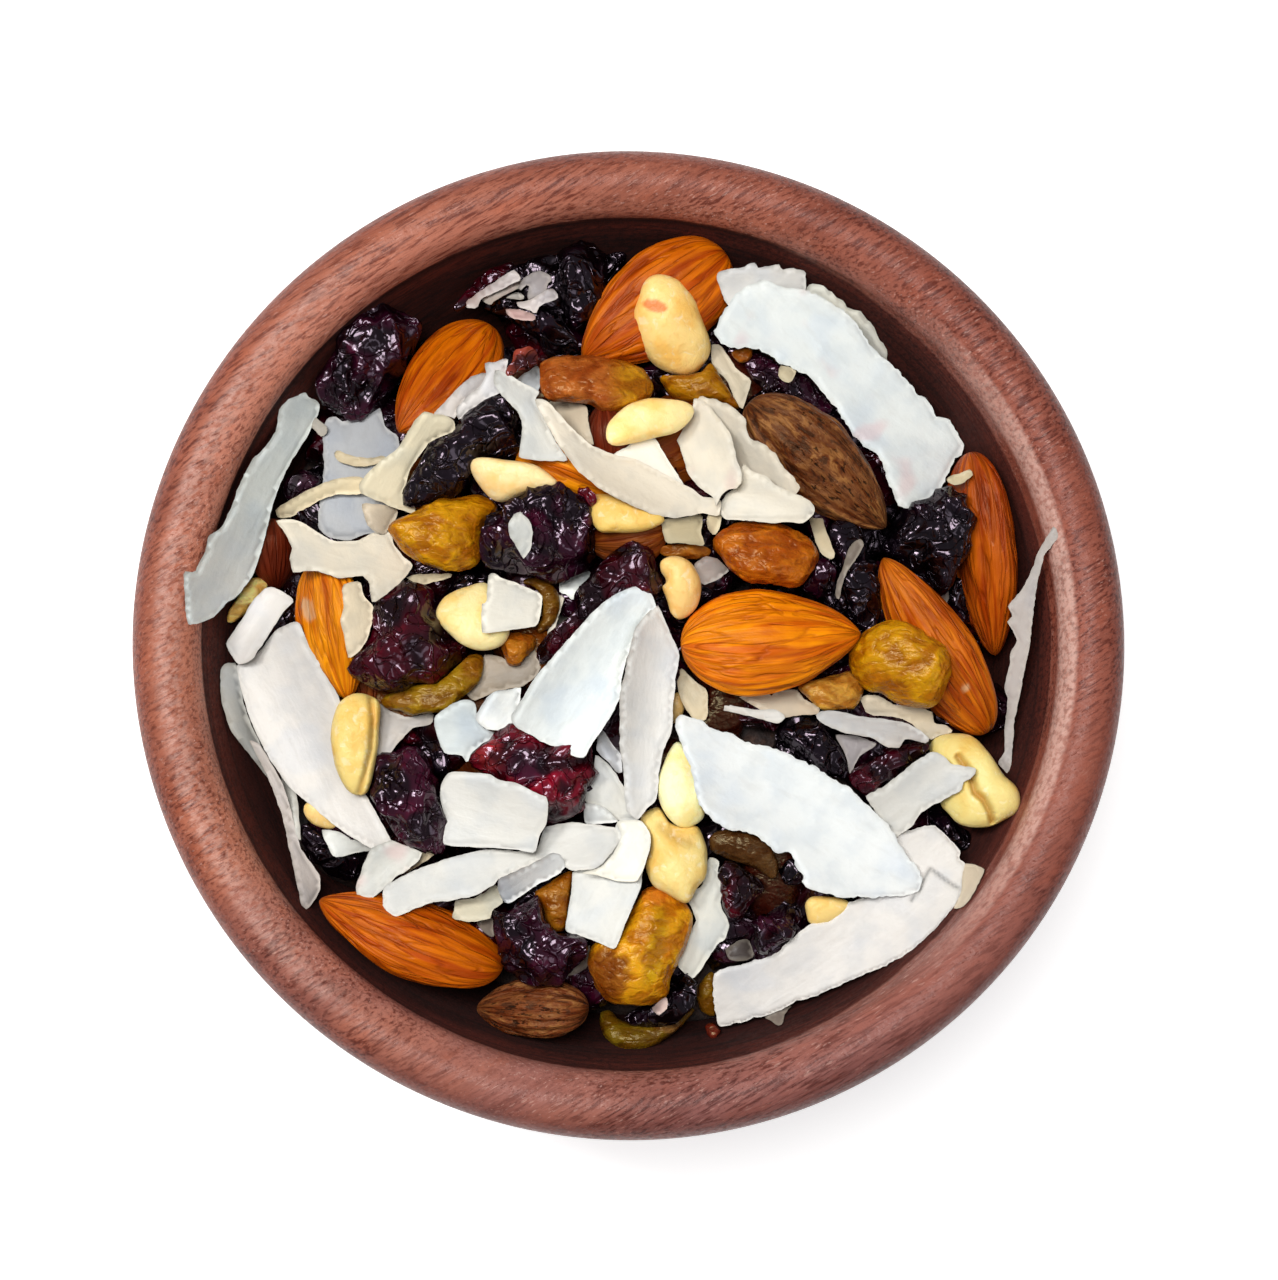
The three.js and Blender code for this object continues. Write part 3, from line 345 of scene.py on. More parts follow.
     [(380.0, 694.4), (386.7, 695.6), (400.0, 688.9), (416.7, 684.4), (435.6, 683.3), (446.7, 677.8), (462.2, 665.6), (466.1, 654.4), (475.6, 653.3), (483.3, 655.6), (483.3, 673.3), (480.0, 681.1), (473.3, 688.9), (460.0, 700.0), (451.1, 710.0), (437.8, 713.3), (417.8, 714.4), (412.2, 716.7), (396.7, 709.4), (386.7, 710.0), (382.2, 702.2)]),
    ("brown", "r_h", 6, 0.90, "rbrown2",
     [(499.9, 640.7), (504.9, 633.4), (518.7, 633.4), (533, 636.1), (533.4, 647.6), (526.1, 657.2), (514.1, 666.7), (504.5, 659.5)]),
    ("gold", "r_n", 2, 0.70, "yellow2",
     [(225.7, 618.4), (233, 602.3), (251.8, 576.6), (266.5, 581.7), (261.5, 593.6), (243.1, 614.3), (230.7, 623.9)]),
    ("brown", "r_o", 6, 0.75, "brown",
     [(711, 542), (720.7, 530.1), (741.3, 522), (768.9, 521.8), (791.8, 527.8), (803.3, 534.6), (817.6, 543.8), (821.2, 558.1), (810.7, 572.3), (794.6, 587.4), (768.9, 586.1), (745.9, 581.5), (727.6, 567.7)]),
    ("gold", "r_p", 5, 0.90, "goldbrown",
     [(731.7, 351.5), (743.6, 346.5), (752.3, 349.2), (750.1, 358.9), (741.3, 363.5), (735.1, 358.4)]),
    ("gold", "r_q", 3, 0.90, "goldbrown",
     [(658.3, 548.9), (672.6, 545), (690.9, 543.8), (710.2, 548.9), (705.2, 558.5), (684, 558.5), (663.4, 556.2)]),
    ("brown", "r_r", 2, 0.90, "redbrown",
     [(704.2, 1026.3), (713.9, 1022.4), (719.4, 1030.9), (711.6, 1037.1)]),
    ("gold", "r_m", 3, 0.80, "olive",
     [(697.3, 994.2), (704.7, 977.7), (714.8, 973.1), (717.1, 1008), (714.3, 1017.6), (701.9, 1010.7)]),
    ("gold", "r_k", 4, 0.80, "gb3",
     [(534.3, 893.2), (548.6, 884), (572.4, 870.9), (569.7, 897.8), (565.6, 928.1), (555.5, 931.7), (545.8, 923), (541.2, 906.9)]),
    ("nut", "p_a", 8, 0.75, "whole",
     [(646.8, 280.4), (661.1, 277.1), (677.1, 282.2), (691.4, 298.7), (705.2, 324), (712.5, 344.6), (707.4, 361.2), (695.5, 371.5), (679.4, 372.7), (658.8, 365.8), (644.5, 351.5), (635.4, 333.2), (633.1, 314.8), (637.7, 294.1)]),
    ("nut", "p_b", 8, 0.75, "half",
     [(606.7, 431.9), (610.6, 422.2), (626.6, 406.6), (645, 399.3), (663.4, 398.1), (684, 399.3), (694.4, 405.5), (691.4, 416.3), (677.1, 430.1), (658.8, 436.9), (640.4, 441.5), (617.4, 447.3), (607.8, 443.4)]),
    ("nut", "p_c", 6, 0.80, "half",
     [(470.5, 466.3), (475.8, 457.8), (498.1, 459), (521, 462.4), (537.1, 467), (551.3, 477.8), (558.4, 485.8), (534.8, 492), (518.7, 495.7), (502.7, 501), (488.9, 495.5), (475.8, 480.1)]),
    ("nut", "p_d", 5, 0.80, "deepnut",
     [(589.4, 500.8), (595.2, 493.4), (619.7, 495.7), (640.4, 503.8), (664.1, 519.1), (651.9, 528.8), (635.8, 533.1), (615.2, 533.1), (600.2, 531.3), (591.7, 516.8)]),
    ("nut", "p_f", 7, 0.55, "half",
     [(435.6, 610.9), (445.3, 594.8), (465.9, 585.6), (486.6, 581.7), (502.7, 604), (509.5, 629.2), (500.4, 647.6), (479.7, 651.7), (461.3, 646), (444.8, 629.7), (437.9, 620.1)]),
    ("nut", "p_g", 7, 0.75, "whole",
     [(334, 714.8), (341.4, 700.6), (355.2, 692.6), (368.9, 693.7), (379.9, 703.4), (379, 730.9), (376.7, 753.9), (371.9, 776.8), (367.1, 793.4), (359.7, 795.9), (348.3, 791.1), (338.6, 774.5), (331.7, 751.6), (330.6, 730.9)]),
    ("nut", "p_h", 7, 0.75, "palenut",
     [(657.2, 792.2), (658.3, 776.2), (665.2, 757.8), (672.1, 746.3), (677.6, 741.3), (688.6, 750.9), (699, 780.8), (704.7, 810.6), (701.9, 820.3), (688.6, 827.4), (677.1, 825.1), (663.4, 811.1)]),
    ("nut", "p_i", 6, 0.75, "whole2",
     [(639.3, 818.5), (650.6, 809.8), (661.2, 807.6), (666.7, 820.4), (679.5, 826.2), (697.2, 825.6), (704.3, 840.4), (707.5, 859.7), (705.3, 876.4), (695.6, 888.0), (686.9, 902.1), (674.7, 897.6), (665.1, 891.2), (652.2, 884.1), (645.8, 866.1), (649.0, 846.8), (645.8, 829.1)]),
    ("nut", "p_j", 5, 0.70, "whole2",
     [(931, 743), (946, 733), (966, 733), (978, 740), (986, 750), (994, 764), (1002, 776), (1014, 788), (1018, 800), (1014, 812), (1004, 820), (988, 827), (970, 828), (958, 824), (948, 814), (940, 804), (941, 784), (936, 765)]),
    ("cran", "c_dk1", 3, 0.85, "black",
     [(478, 300), (492, 276), (520, 262), (556, 262), (580, 276), (586, 300), (572, 318), (540, 322), (500, 318)]),
    ("cran", "c_dk2", 3, 0.90, "black",
     [(556, 256), (580, 244), (604, 250), (608, 280), (596, 318), (578, 330), (562, 300)]),
    ("nut", "p_k", 4, 0.80, "whole",
     [(804, 903.7), (810.2, 896.3), (826.3, 895.2), (846.9, 900.2), (851.5, 910.6), (828.6, 924.3), (810.2, 923.9), (805.2, 912.9)]),
    ("nut", "p_l", 3, 0.80, "whole",
     [(304, 806.6), (310.2, 801.5), (321.7, 808.4), (338.2, 822.7), (330.9, 829.5), (314.8, 825.6), (305.2, 815.8)]),
    ("nut", "p_m", 3, 0.90, "tan",
     [(668.6, 709.6), (671.4, 695.4), (679.4, 693.1), (684.5, 709.6), (674.8, 724.1)]),
]
BENT = [
    ("nut", "p_e", 6, 0.95, "whole",
     [(659.9, 568.4), (672.6, 570.7), (681.7, 581), (681.7, 597.1), (673.7, 615.5)], [20.7, 32.1, 40.2, 36.7, 20.7]),
    ("gold", "r_l", 3, 0.90, "olive4",
     [(605, 1011), (612, 1029), (628, 1037), (650, 1033), (672, 1023), (695, 1009)], [16, 33, 32, 22, 13, 7]),
    ("cran", "c_v", 4, 0.90, "black",
     [(684, 973.5), (688.6, 989.6), (677.1, 1003.4), (656.5, 1013.7), (635.8, 1019.4), (624.3, 1019.4)], [13.8, 27.6, 29.8, 23.0, 20.7, 13.8]),
    ("gold", "r_i", 4, 0.90, "gb2",
     [(523.3, 581), (544, 586.8), (552, 599.4), (548.6, 617.8), (537.1, 631.5)], [9.2, 16.1, 17.2, 16.1, 11.5]),
    ("gold", "r_j", 3, 0.90, "umber",
     [(709.2, 844), (727.6, 844), (748.2, 848.6), (764.3, 860.1), (773.5, 878.4)], [25.3, 29.8, 29.8, 29.8, 13.8]),
]
ORDER = []

# ------------------------------------------------------------------ noise
_perm = np.random.default_rng(41).permutation(256)
_perm = np.concatenate([_perm, _perm, _perm])
_grad = np.random.default_rng(43).normal(size=(256, 3))
_grad /= np.linalg.norm(_grad, axis=1)[:, None]


def noise3(p):
    """Gradient noise, about -0.7 to 0.7."""
    i = np.floor(p).astype(int)
    f = p - i
    i &= 255
    w = f * f * f * (f * (f * 6 - 15) + 10)
    out = 0
    for dx in (0, 1):
        wx = w[:, 0] if dx else 1 - w[:, 0]
        for dy in (0, 1):
            wy = w[:, 1] if dy else 1 - w[:, 1]
            for dz in (0, 1):
                wz = w[:, 2] if dz else 1 - w[:, 2]
                h = _perm[_perm[_perm[i[:, 0] + dx] + i[:, 1] + dy] + i[:, 2] + dz]
                g = _grad[h]
                d = (
                    g[:, 0] * (f[:, 0] - dx)
                    + g[:, 1] * (f[:, 1] - dy)
                    + g[:, 2] * (f[:, 2] - dz)
                )
                out = out + wx * wy * wz * d
    return out


def fbm(p, octaves=3):
    total, amp = 0, 1.0
    for k in range(octaves):
        total = total + amp * noise3(p * 2.03**k + 17.3 * k)
        amp *= 0.5
    return total


def smoothstep(a, b, x):
    t = np.clip((x - a) / (b - a), 0, 1)
    return t * t * (3 - 2 * t)


def creases(p, warp=0.6):
    """1 along the valleys of a wrinkled skin, falling to 0 on its bulges."""
    q = p + warp * np.column_stack([noise3(p * 0.7 + s) for s in (3.1, 11.7, 29.3)])
    n = np.abs(noise3(q)) * 2.0
    return np.exp(-((n / 0.34) ** 1.15))


# ------------------------------------------------------------------ outlines
def smooth_loop(pts, step, soft=0.5):
    """A closed curve through pts, resampled to even steps. Less soft is crisper."""
    p = np.asarray(pts, float)
    n = len(p)
    t = np.linspace(0, 1, 13)[:-1][:, None]
    out = []
    for i in range(n):
        a, b, c, d = p[i - 1], p[i], p[(i + 1) % n], p[(i + 2) % n]
        m0, m1 = soft * (c - a), soft * (d - b)
        out.append(
            b + m0 * t + (3 * (c - b) - 2 * m0 - m1) * t**2 + (2 * (b - c) + m0 + m1) * t**3
        )
    q = np.vstack(out)
    q = np.vstack([q, q[:1]])
    s = np.concatenate([[0], np.cumsum(np.hypot(*np.diff(q, axis=0).T))])
    m = max(12, int(round(s[-1] / step)))
    u = np.linspace(0, s[-1], m, endpoint=False)
    return np.column_stack([np.interp(u, s, q[:, 0]), np.interp(u, s, q[:, 1])])


def area_centre(p):
    x, y = p.T
    x1, y1 = np.roll(x, -1), np.roll(y, -1)
    c = x * y1 - x1 * y
    a = c.sum() / 2
    return a, np.array([((x + x1) * c).sum(), ((y + y1) * c).sum()]) / (6 * a)


def inside(pts, loop):
    x, y = pts[:, 0][:, None], pts[:, 1][:, None]
    x0, y0 = loop.T
    x1, y1 = np.roll(x0, -1), np.roll(y0, -1)
    with np.errstate(divide="ignore", invalid="ignore"):
        cut = ((y0 > y) != (y1 > y)) & (x < (x1 - x0) * (y - y0) / (y1 - y0) + x0)
    return cut.sum(axis=1) % 2 == 1


def edge_distance(pts, loop):
    a, b = loop, np.roll(loop, -1, axis=0)
    d = b - a
    best = np.full(len(pts), 1e9)
    ll = (d * d).sum(axis=1) + 1e-12
    for k in range(0, len(pts), 400):
        q = pts[k : k + 400][:, None, :] - a[None]
        t = np.clip((q * d).sum(axis=2) / ll, 0, 1)
        e = q - d * t[..., None]
        best[k : k + 400] = np.sqrt((e * e).sum(axis=2).min(axis=1))
    return best


def radial(loop, centre, n=240):
    """The outline's reach from centre in n even directions."""
    out = np.zeros(n)
    q = loop - centre
    q1 = np.roll(q, -1, axis=0)
    for k in range(n):
        a = 2 * math.pi * k / n
        c, s = math.cos(a), math.sin(a)
        u0, v0 = q @ [c, s], q @ [-s, c]
        u1, v1 = q1 @ [c, s], q1 @ [-s, c]
        hit = (v0 > 0) != (v1 > 0)
        if hit.any():
            u = u0[hit] + (u1[hit] - u0[hit]) * v0[hit] / (v0[hit] - v1[hit])
            out[k] = max(u.max(), 0.05)
    return out


def ring_blur(v, sigma):
    n = len(v)
    k = np.arange(n)
    k = np.minimum(k, n - k)
    w = np.exp(-0.5 * (k / sigma) ** 2)
    w /= w.sum()
    return np.real(np.fft.ifft(np.fft.fft(v) * np.fft.fft(w)))


_spheres = {}


def quad_sphere(n):
    """Unit sphere from a cube with n by n squares a side, as triangles."""
    if n in _spheres:
        return _spheres[n]
    g = np.tan(np.linspace(-math.pi / 4, math.pi / 4, n + 1))
    u, v = np.meshgrid(g, g, indexing="ij")
    u, v = u.ravel(), v.ravel()
    one = np.ones_like(u)
    sides = [
        (one, u, v), (-one, v, u), (v, one, u), (u, -one, v), (u, v, one), (v, u, -one),
    ]
    pts, tris = [], []
    for k, s in enumerate(sides):
        pts.append(np.column_stack(s))
        i, j = np.meshgrid(range(n), range(n), indexing="ij")
        a = (i * (n + 1) + j).ravel() + k * (n + 1) ** 2
        b, c, d = a + n + 1, a + n + 2, a + 1
        tris += [np.column_stack([a, b, c]), np.column_stack([a, c, d])]
    p = np.vstack(pts)
    p /= np.linalg.norm(p, axis=1)[:, None]
    t = np.vstack(tris)
    _, first, back = np.unique(
        np.round(p, 6), axis=0, return_index=True, return_inverse=True
    )
    p, t = p[first], back.ravel()[t]
    e = np.cross(p[t[:, 1]] - p[t[:, 0]], p[t[:, 2]] - p[t[:, 0]])
    flip = (e * p[t[:, 0]]).sum(axis=1) < 0
    t[flip] = t[flip][:, ::-1]
    _spheres[n] = (p, t)
    return _spheres[n]


# ------------------------------------------------------------------ pieces
# A piece is a dict: kind, xy and z (relative to where it rests), tri, loc (its own
# coordinates, for its material), rel (relief, 0 to 1), tint, and how it is laid.
TINTS = {
    "brown": (224, 112, 14), "amber": (218, 110, 0), "amber2": (226, 120, 0),
    "dark": (124, 74, 42), "dark2": (126, 68, 34), "brown2": (218, 118, 12), "brown3": (138, 68, 14),
    "brown4": (204, 98, 10), "bright": (255, 152, 0), "bright2": (252, 160, 10),
    "red": (124, 48, 24),
    "plum": (42, 5, 24), "plum2": (54, 9, 30), "black": (11, 4, 11),
    "wine": (58, 2, 14), "wred": (104, 8, 26), "redbrown": (96, 32, 20), "redbrown2": (150, 64, 48),
    "twotone": (182, 98, 34), "olive": (158, 118, 24), "gold": (214, 146, 24),
    "olive2": (184, 128, 10), "goldlight": (210, 142, 14), "tan": (206, 154, 62),
    "ambr": (222, 158, 20), "rbrown": (178, 96, 14), "yellow": (238, 192, 100),
    "goldbrown": (160, 100, 28), "umber": (84, 54, 26), "olive3": (138, 112, 20), "gl2": (194, 136, 8), "olive5": (166, 110, 8), "gb3": (140, 84, 14), "yellow2": (255, 238, 150), "olive3b": (146, 112, 16), "olive4": (112, 90, 14), "gb2": (112, 74, 20), "rbrown2": (162, 102, 22),
    "whole": (250, 212, 131), "half": (250, 222, 158), "whole2": (253, 226, 144),
    "deepnut": (244, 203, 111), "palenut": (255, 247, 194), "ntan": (222, 178, 116),
    # Coconut flesh is white. The greyer and darker coconut tones (grey, blue, ash, ash2, ash3, shade, dim, dim2, dim3,
    # deep) are painted shade, given to flakes that lie in shadow, and the brightest (snow, milk) partly lift flakes
    # that fall in shade.
    "grey": (208, 206, 198), "blue": (164, 167, 168), "cream": (232, 214, 176),
    "white": (236, 236, 229), "warm": (233, 223, 202), "cbright": (238, 242, 238), "pale": (226, 231, 227),
    "ivory": (242, 232, 206), "straw": (204, 187, 152), "shade": (172, 165, 154),
    "snow": (250, 251, 247), "silver": (220, 217, 210), "milk": (249, 244, 228),
    "bone": (213, 198, 172), "ash": (189, 181, 174), "ivory2": (206, 194, 188), "silver2": (226, 222, 216), "silver3": (229, 226, 214),
    "dim2": (149, 143, 142), "dim3": (156, 148, 147), "oat2": (224, 208, 178), "cream2": (226, 214, 183), "ash3": (162, 148, 128), "pink2": (196, 162, 156), "ash2": (177, 164, 146), "oat": (216, 208, 182),
    "pale2": (229, 233, 231), "warm2": (226, 217, 198), "straw2": (194, 180, 156), "dim": (118, 106, 96), "deep": (70, 62, 58), "pink": (226, 194, 182),
}
PINK = (222, 170, 170)
SWAP = {
    ("cran", "red"): "wred", ("brown", "brown"): "rbrown", ("gold", "amber"): "ambr",
    ("nut", "tan"): "ntan", ("flake", "bright"): "cbright",
}


def lin(rgb):
    c = np.asarray(rgb, float) / 255
    return np.where(c <= 0.04045, c / 12.92, ((c + 0.055) / 1.055) ** 2.4)


def tint_of(kind, tone, rng, spread=0.07):
    c = lin(TINTS[SWAP.get((kind, tone), tone)])
    return c * (1 + spread * rng.normal()) * (1 + 0.35 * spread * rng.normal(size=3))


GUESS_Z = 48.0
GRAIN = {  # wrinkle wavelength, depth, then a finer pair
    "cran": (5.4, 1.25, 2.8, 0.46), "gold": (4.2, 0.28, 1.9, 0.12),
    "brown": (4.2, 0.52, 2.0, 0.22), "nut": (6.0, 0.30, 2.6, 0.07),
}


def wrinkled(kind, p, nrm, seed, size):
    """Moves the points of a lump in along its creases. Returns points and relief."""
    wl, dp, wl2, dp2 = GRAIN[kind]
    dp *= min(1.0, size / 4.5)
    off = np.array([seed * 3.7, seed * 1.3, seed * 7.9]) % 97
    if kind == "nut":
        n1 = fbm(p / wl + off, 2)
        n2 = noise3(p / wl2 + off)
        return p + nrm * (dp * n1 * 1.6 + dp2 * n2)[:, None], 0.5 + n1
    # shrunken skin: narrow raised folds round hollow facets, drawn out one way
    a = seed * 1.9
    ca, sa = math.cos(a), math.sin(a)
    t = np.column_stack([(p[:, 0] * ca + p[:, 1] * sa) * 0.72,
                         (p[:, 1] * ca - p[:, 0] * sa) * 1.18, p[:, 2] * 1.1])
    c1 = creases(t / wl + off, 0.75)
    c2 = creases(t / wl2 + off + 31.0, 0.9)
    big = noise3(t / (wl * 1.5) + off + 7.0)
    rel = np.clip(1 - c1 * 1.1 - 0.45 * c2, 0, 1)
    d = dp * (c1 - 0.62) + dp2 * (c2 - 0.4) + 0.8 * dp * big
    return p + nrm * d[:, None], rel


GROOVES = {  # line in frame pixels, depth and width in mm
    "p_j": [([(956, 757), (964, 770), (968, 781), (971, 793), (979, 800), (985, 811), (989, 822)], 1.2, 0.42)],
    "p_g": [([(371, 698), (374, 720), (372, 750), (366, 775), (360, 792)], 0.6, 0.4)],
    "p_i": [([(662, 826), (676, 838), (690, 842)], 0.5, 0.8)],
}


MARKS = {  # centre, radii in frame pixels, turn in degrees, colour, strength
    "p_a": [((653, 312), (12, 6), -15, (226, 128, 56), 0.95)],
    "r_f": [((602, 976), (27, 27), 0, (134, 70, 24), 0.85), ((654, 945), (10, 42), -8, (196, 152, 6), 0.85),
            ((652, 893), (20, 10), -15, (204, 112, 30), 0.8), ((645, 1002), (16, 8), 0, (160, 98, 14), 0.7),
            ((684, 935), (6, 20), -10, (214, 140, 20), 0.6)],
    "c_g": [((491, 756), (13, 16), 20, (150, 40, 40), 0.75), ((526, 766), (20, 18), 0, (40, 14, 36), 0.8),
            ((560, 775), (10, 20), 0, (88, 6, 30), 0.5)],
    "r_g": [((402, 700), (13, 8), 0, (120, 70, 26), 0.7), ((470, 668), (8, 14), 20, (150, 92, 22), 0.5)],
    "r_l": [((668, 1025), (20, 8), -25, (122, 82, 50), 0.6)],
    "a_left": [((309, 611), (6, 12), 20, (250, 226, 190), 0.85)],
    "a_right": [((961, 690), (5, 3.5), 30, (236, 196, 150), 0.8)],
    "c_e": [((498, 588), (7, 3), 40, (190, 50, 52), 0.7), ((470, 610), (5, 4), 0, (176, 40, 44), 0.6),
            ((520, 640), (6, 3), 70, (170, 36, 44), 0.6)],
}


def marked(name, p, tint):
    """Adds a piece's own spots to its tint, on its upper side."""
    for at, (ra, rb), turn, rgb, strength in MARKS.get(name, []):
        c = seen_at([at], GUESS_Z)[0]
        t = math.radians(turn)
        d = (p[:, :2] - c) / 0.1289
        u = (d[:, 0] * math.cos(t) + d[:, 1] * math.sin(t)) / ra
        v = (d[:, 1] * math.cos(t) - d[:, 0] * math.sin(t)) / rb
        r = np.hypot(u, v) + 0.35 * noise3(np.column_stack([d / 6, p[:, 2]]) + 3)
        k = strength * smoothstep(1.25, 0.75, r) * (p[:, 2] > 0)
        tint[:, :3] = tint[:, :3] * (1 - k[:, None]) + lin(rgb) * k[:, None]


CRACKS = {  # where a shaving has split, in frame pixels
    "band_low_right": [[(911.7, 900), (920, 890), (925, 876.7), (930.7, 869), (937, 873),
                        (945, 879.5), (953, 885), (959, 888)]],
}


def seen_open(line):
    """An open line as a loop that runs there and back."""
    p = seen_at(line, GUESS_Z)
    return np.vstack([p, p[-2:0:-1]])


def lump(kind, name, outline, factor, tone, seed, res=20, flat=0.62):
    """A rounded piece with the given outline, inflated to factor times its width."""
    rng = np.random.default_rng(seed)
    if name in GROOVES or (name in MARKS and kind == "nut"):
        res = 46
    loop = smooth_loop(seen_at(outline, GUESS_Z), 0.4)
    _, c = area_centre(loop)
    q = loop - c
    ev, evec = np.linalg.eigh(q.T @ q / len(q))
    short = math.sqrt(2 * ev[0]) * 1.0
    r = radial(loop, c)
    r1, r2 = ring_blur(r, 1.6), ring_blur(r, 14)
    d, tri = quad_sphere(res)
    ang = (np.arctan2(d[:, 1], d[:, 0]) % (2 * math.pi)) / (2 * math.pi) * len(r)
    i = ang.astype(int) % len(r)
    f = ang - np.floor(ang)
    near = r1[i] * (1 - f) + r1[(i + 1) % len(r)] * f
    soft = r2[i] * (1 - f) + r2[(i + 1) % len(r)] * f
    s = np.hypot(d[:, 0], d[:, 1])
    reach = soft + (near - soft) * smoothstep(0.35, 1.0, s)
    h = factor * short * np.where(d[:, 2] > 0, 1.0, flat)
    spread = s**0.86
    x = reach * spread * d[:, 0] / np.maximum(s, 1e-6)
    y = reach * spread * d[:, 1] / np.maximum(s, 1e-6)
    z = h * np.sign(d[:, 2]) * np.abs(d[:, 2]) ** 0.92
    p = np.column_stack([x, y, z])
    nrm = np.column_stack([x / near**2, y / near**2, z / h**2])
    nrm /= np.linalg.norm(nrm, axis=1)[:, None] + 1e-9
    p2, rel = wrinkled(kind, p, nrm, seed, short)
    base = tint_of(kind, tone, rng)
    cut = np.zeros(len(p))
    if name in GROOVES:
        for line, depth, width in GROOVES[name]:
            near_l = edge_distance(p2[:, :2] + c, seen_open(line))
            dip = np.exp(-((near_l / width) ** 2)) * (p[:, 2] > -0.2)
            p2 = p2 - np.column_stack([0 * dip, 0 * dip, depth * dip])
            rel = np.clip(rel + 0.5 * dip, 0, 1)
            cut = np.maximum(cut, dip * min(1.0, depth))
    tint = np.tile(np.append(base, 0.5), (len(p), 1))
    # painted shade: the tint is darkened along each groove, in step with its depth
    tint[:, :3] *= 1 - cut[:, None] * [0.42, 0.60, 0.80]
    if tone == "twotone":
        k = smoothstep(0.15, 0.55, (p[:, 0] / near.max() + 0.12 * noise3(p / 3 + seed)))
        tint[:, :3] = tint[:, :3] * (1 - k[:, None]) + lin((186, 128, 16)) * k[:, None]
    marked(name, p2 + [c[0], c[1], 0], tint)
    return dict(kind=kind, name=name, xy=p2[:, :2] + c, z=p2[:, 2], tri=tri,
                loc=p + seed * 13.0 % 500, rel=rel, tint=tint, lay="rigid",
                centre=c, sink=0.45, slope=0.32)


def bent(kind, name, line, widths, factor, tone, seed, flat=0.7):
    """A rounded piece swept along a bent centreline."""
    rng = np.random.default_rng(seed)
    mm = 0.1289
    line = seen_at(line, GUESS_Z)
    s = np.concatenate([[0], np.cumsum(np.hypot(*np.diff(line, axis=0).T))])
    s /= s[-1]
    n, m = 60, 34
    a = np.linspace(0, math.pi, n)
    u = 0.5 - 0.5 * np.cos(a)
    deg = min(3, len(line) - 1)
    cx, cy = np.polyfit(s, line[:, 0], deg), np.polyfit(s, line[:, 1], deg)
    px, py = np.polyval(cx, u), np.polyval(cy, u)
    tx, ty = np.gradient(px, u), np.gradient(py, u)
    tl = np.hypot(tx, ty)
    half = np.polyval(np.polyfit(s, np.array(widths) * mm / 2, 2), u)
    half = np.maximum(half, 0.3 * max(widths) * mm / 2) * np.sin(a) ** 0.45
    b = np.linspace(0, 2 * math.pi, m, endpoint=False)
    hh = factor * max(widths) * mm / 2
    pts, nrm = [], []
    for k in range(n):
        cb, sb = np.cos(b), np.sin(b)
        side = half[k] * cb
        up = hh * (half[k] / half.max()) * sb * np.where(sb > 0, 1, flat)
        pts.append(np.column_stack([px[k] - ty[k] / tl[k] * side,
                                    py[k] + tx[k] / tl[k] * side, up]))
        nrm.append(np.column_stack([-ty[k] / tl[k] * cb, tx[k] / tl[k] * cb, sb]))
    p, nr = np.vstack(pts), np.vstack(nrm)
    i, j = np.meshgrid(range(n - 1), range(m), indexing="ij")
    a0 = (i * m + j).ravel()
    a1 = (i * m + (j + 1) % m).ravel()
    tri = np.vstack([np.column_stack([a0, a0 + m, a1 + m]),
                     np.column_stack([a0, a1 + m, a1])])[:, ::-1]
    c = p[:, :2].mean(axis=0)
    q = p - [c[0], c[1], 0]
    p2, rel = wrinkled(kind, q, nr, seed, half.max())
    keep = np.sin(a).repeat(m) > 0.2
    p2 = np.where(keep[:, None], p2, q)
    tint = np.tile(np.append(tint_of(kind, tone, rng), 0.5), (len(p), 1))
    marked(name, p2 + [c[0], c[1], 0], tint)
    return dict(kind=kind, name=name, xy=p2[:, :2] + c, z=p2[:, 2], tri=tri,
                loc=q + seed * 13.0 % 500, rel=rel, tint=tint, lay="rigid",
                centre=c, sink=0.45, slope=0.3)


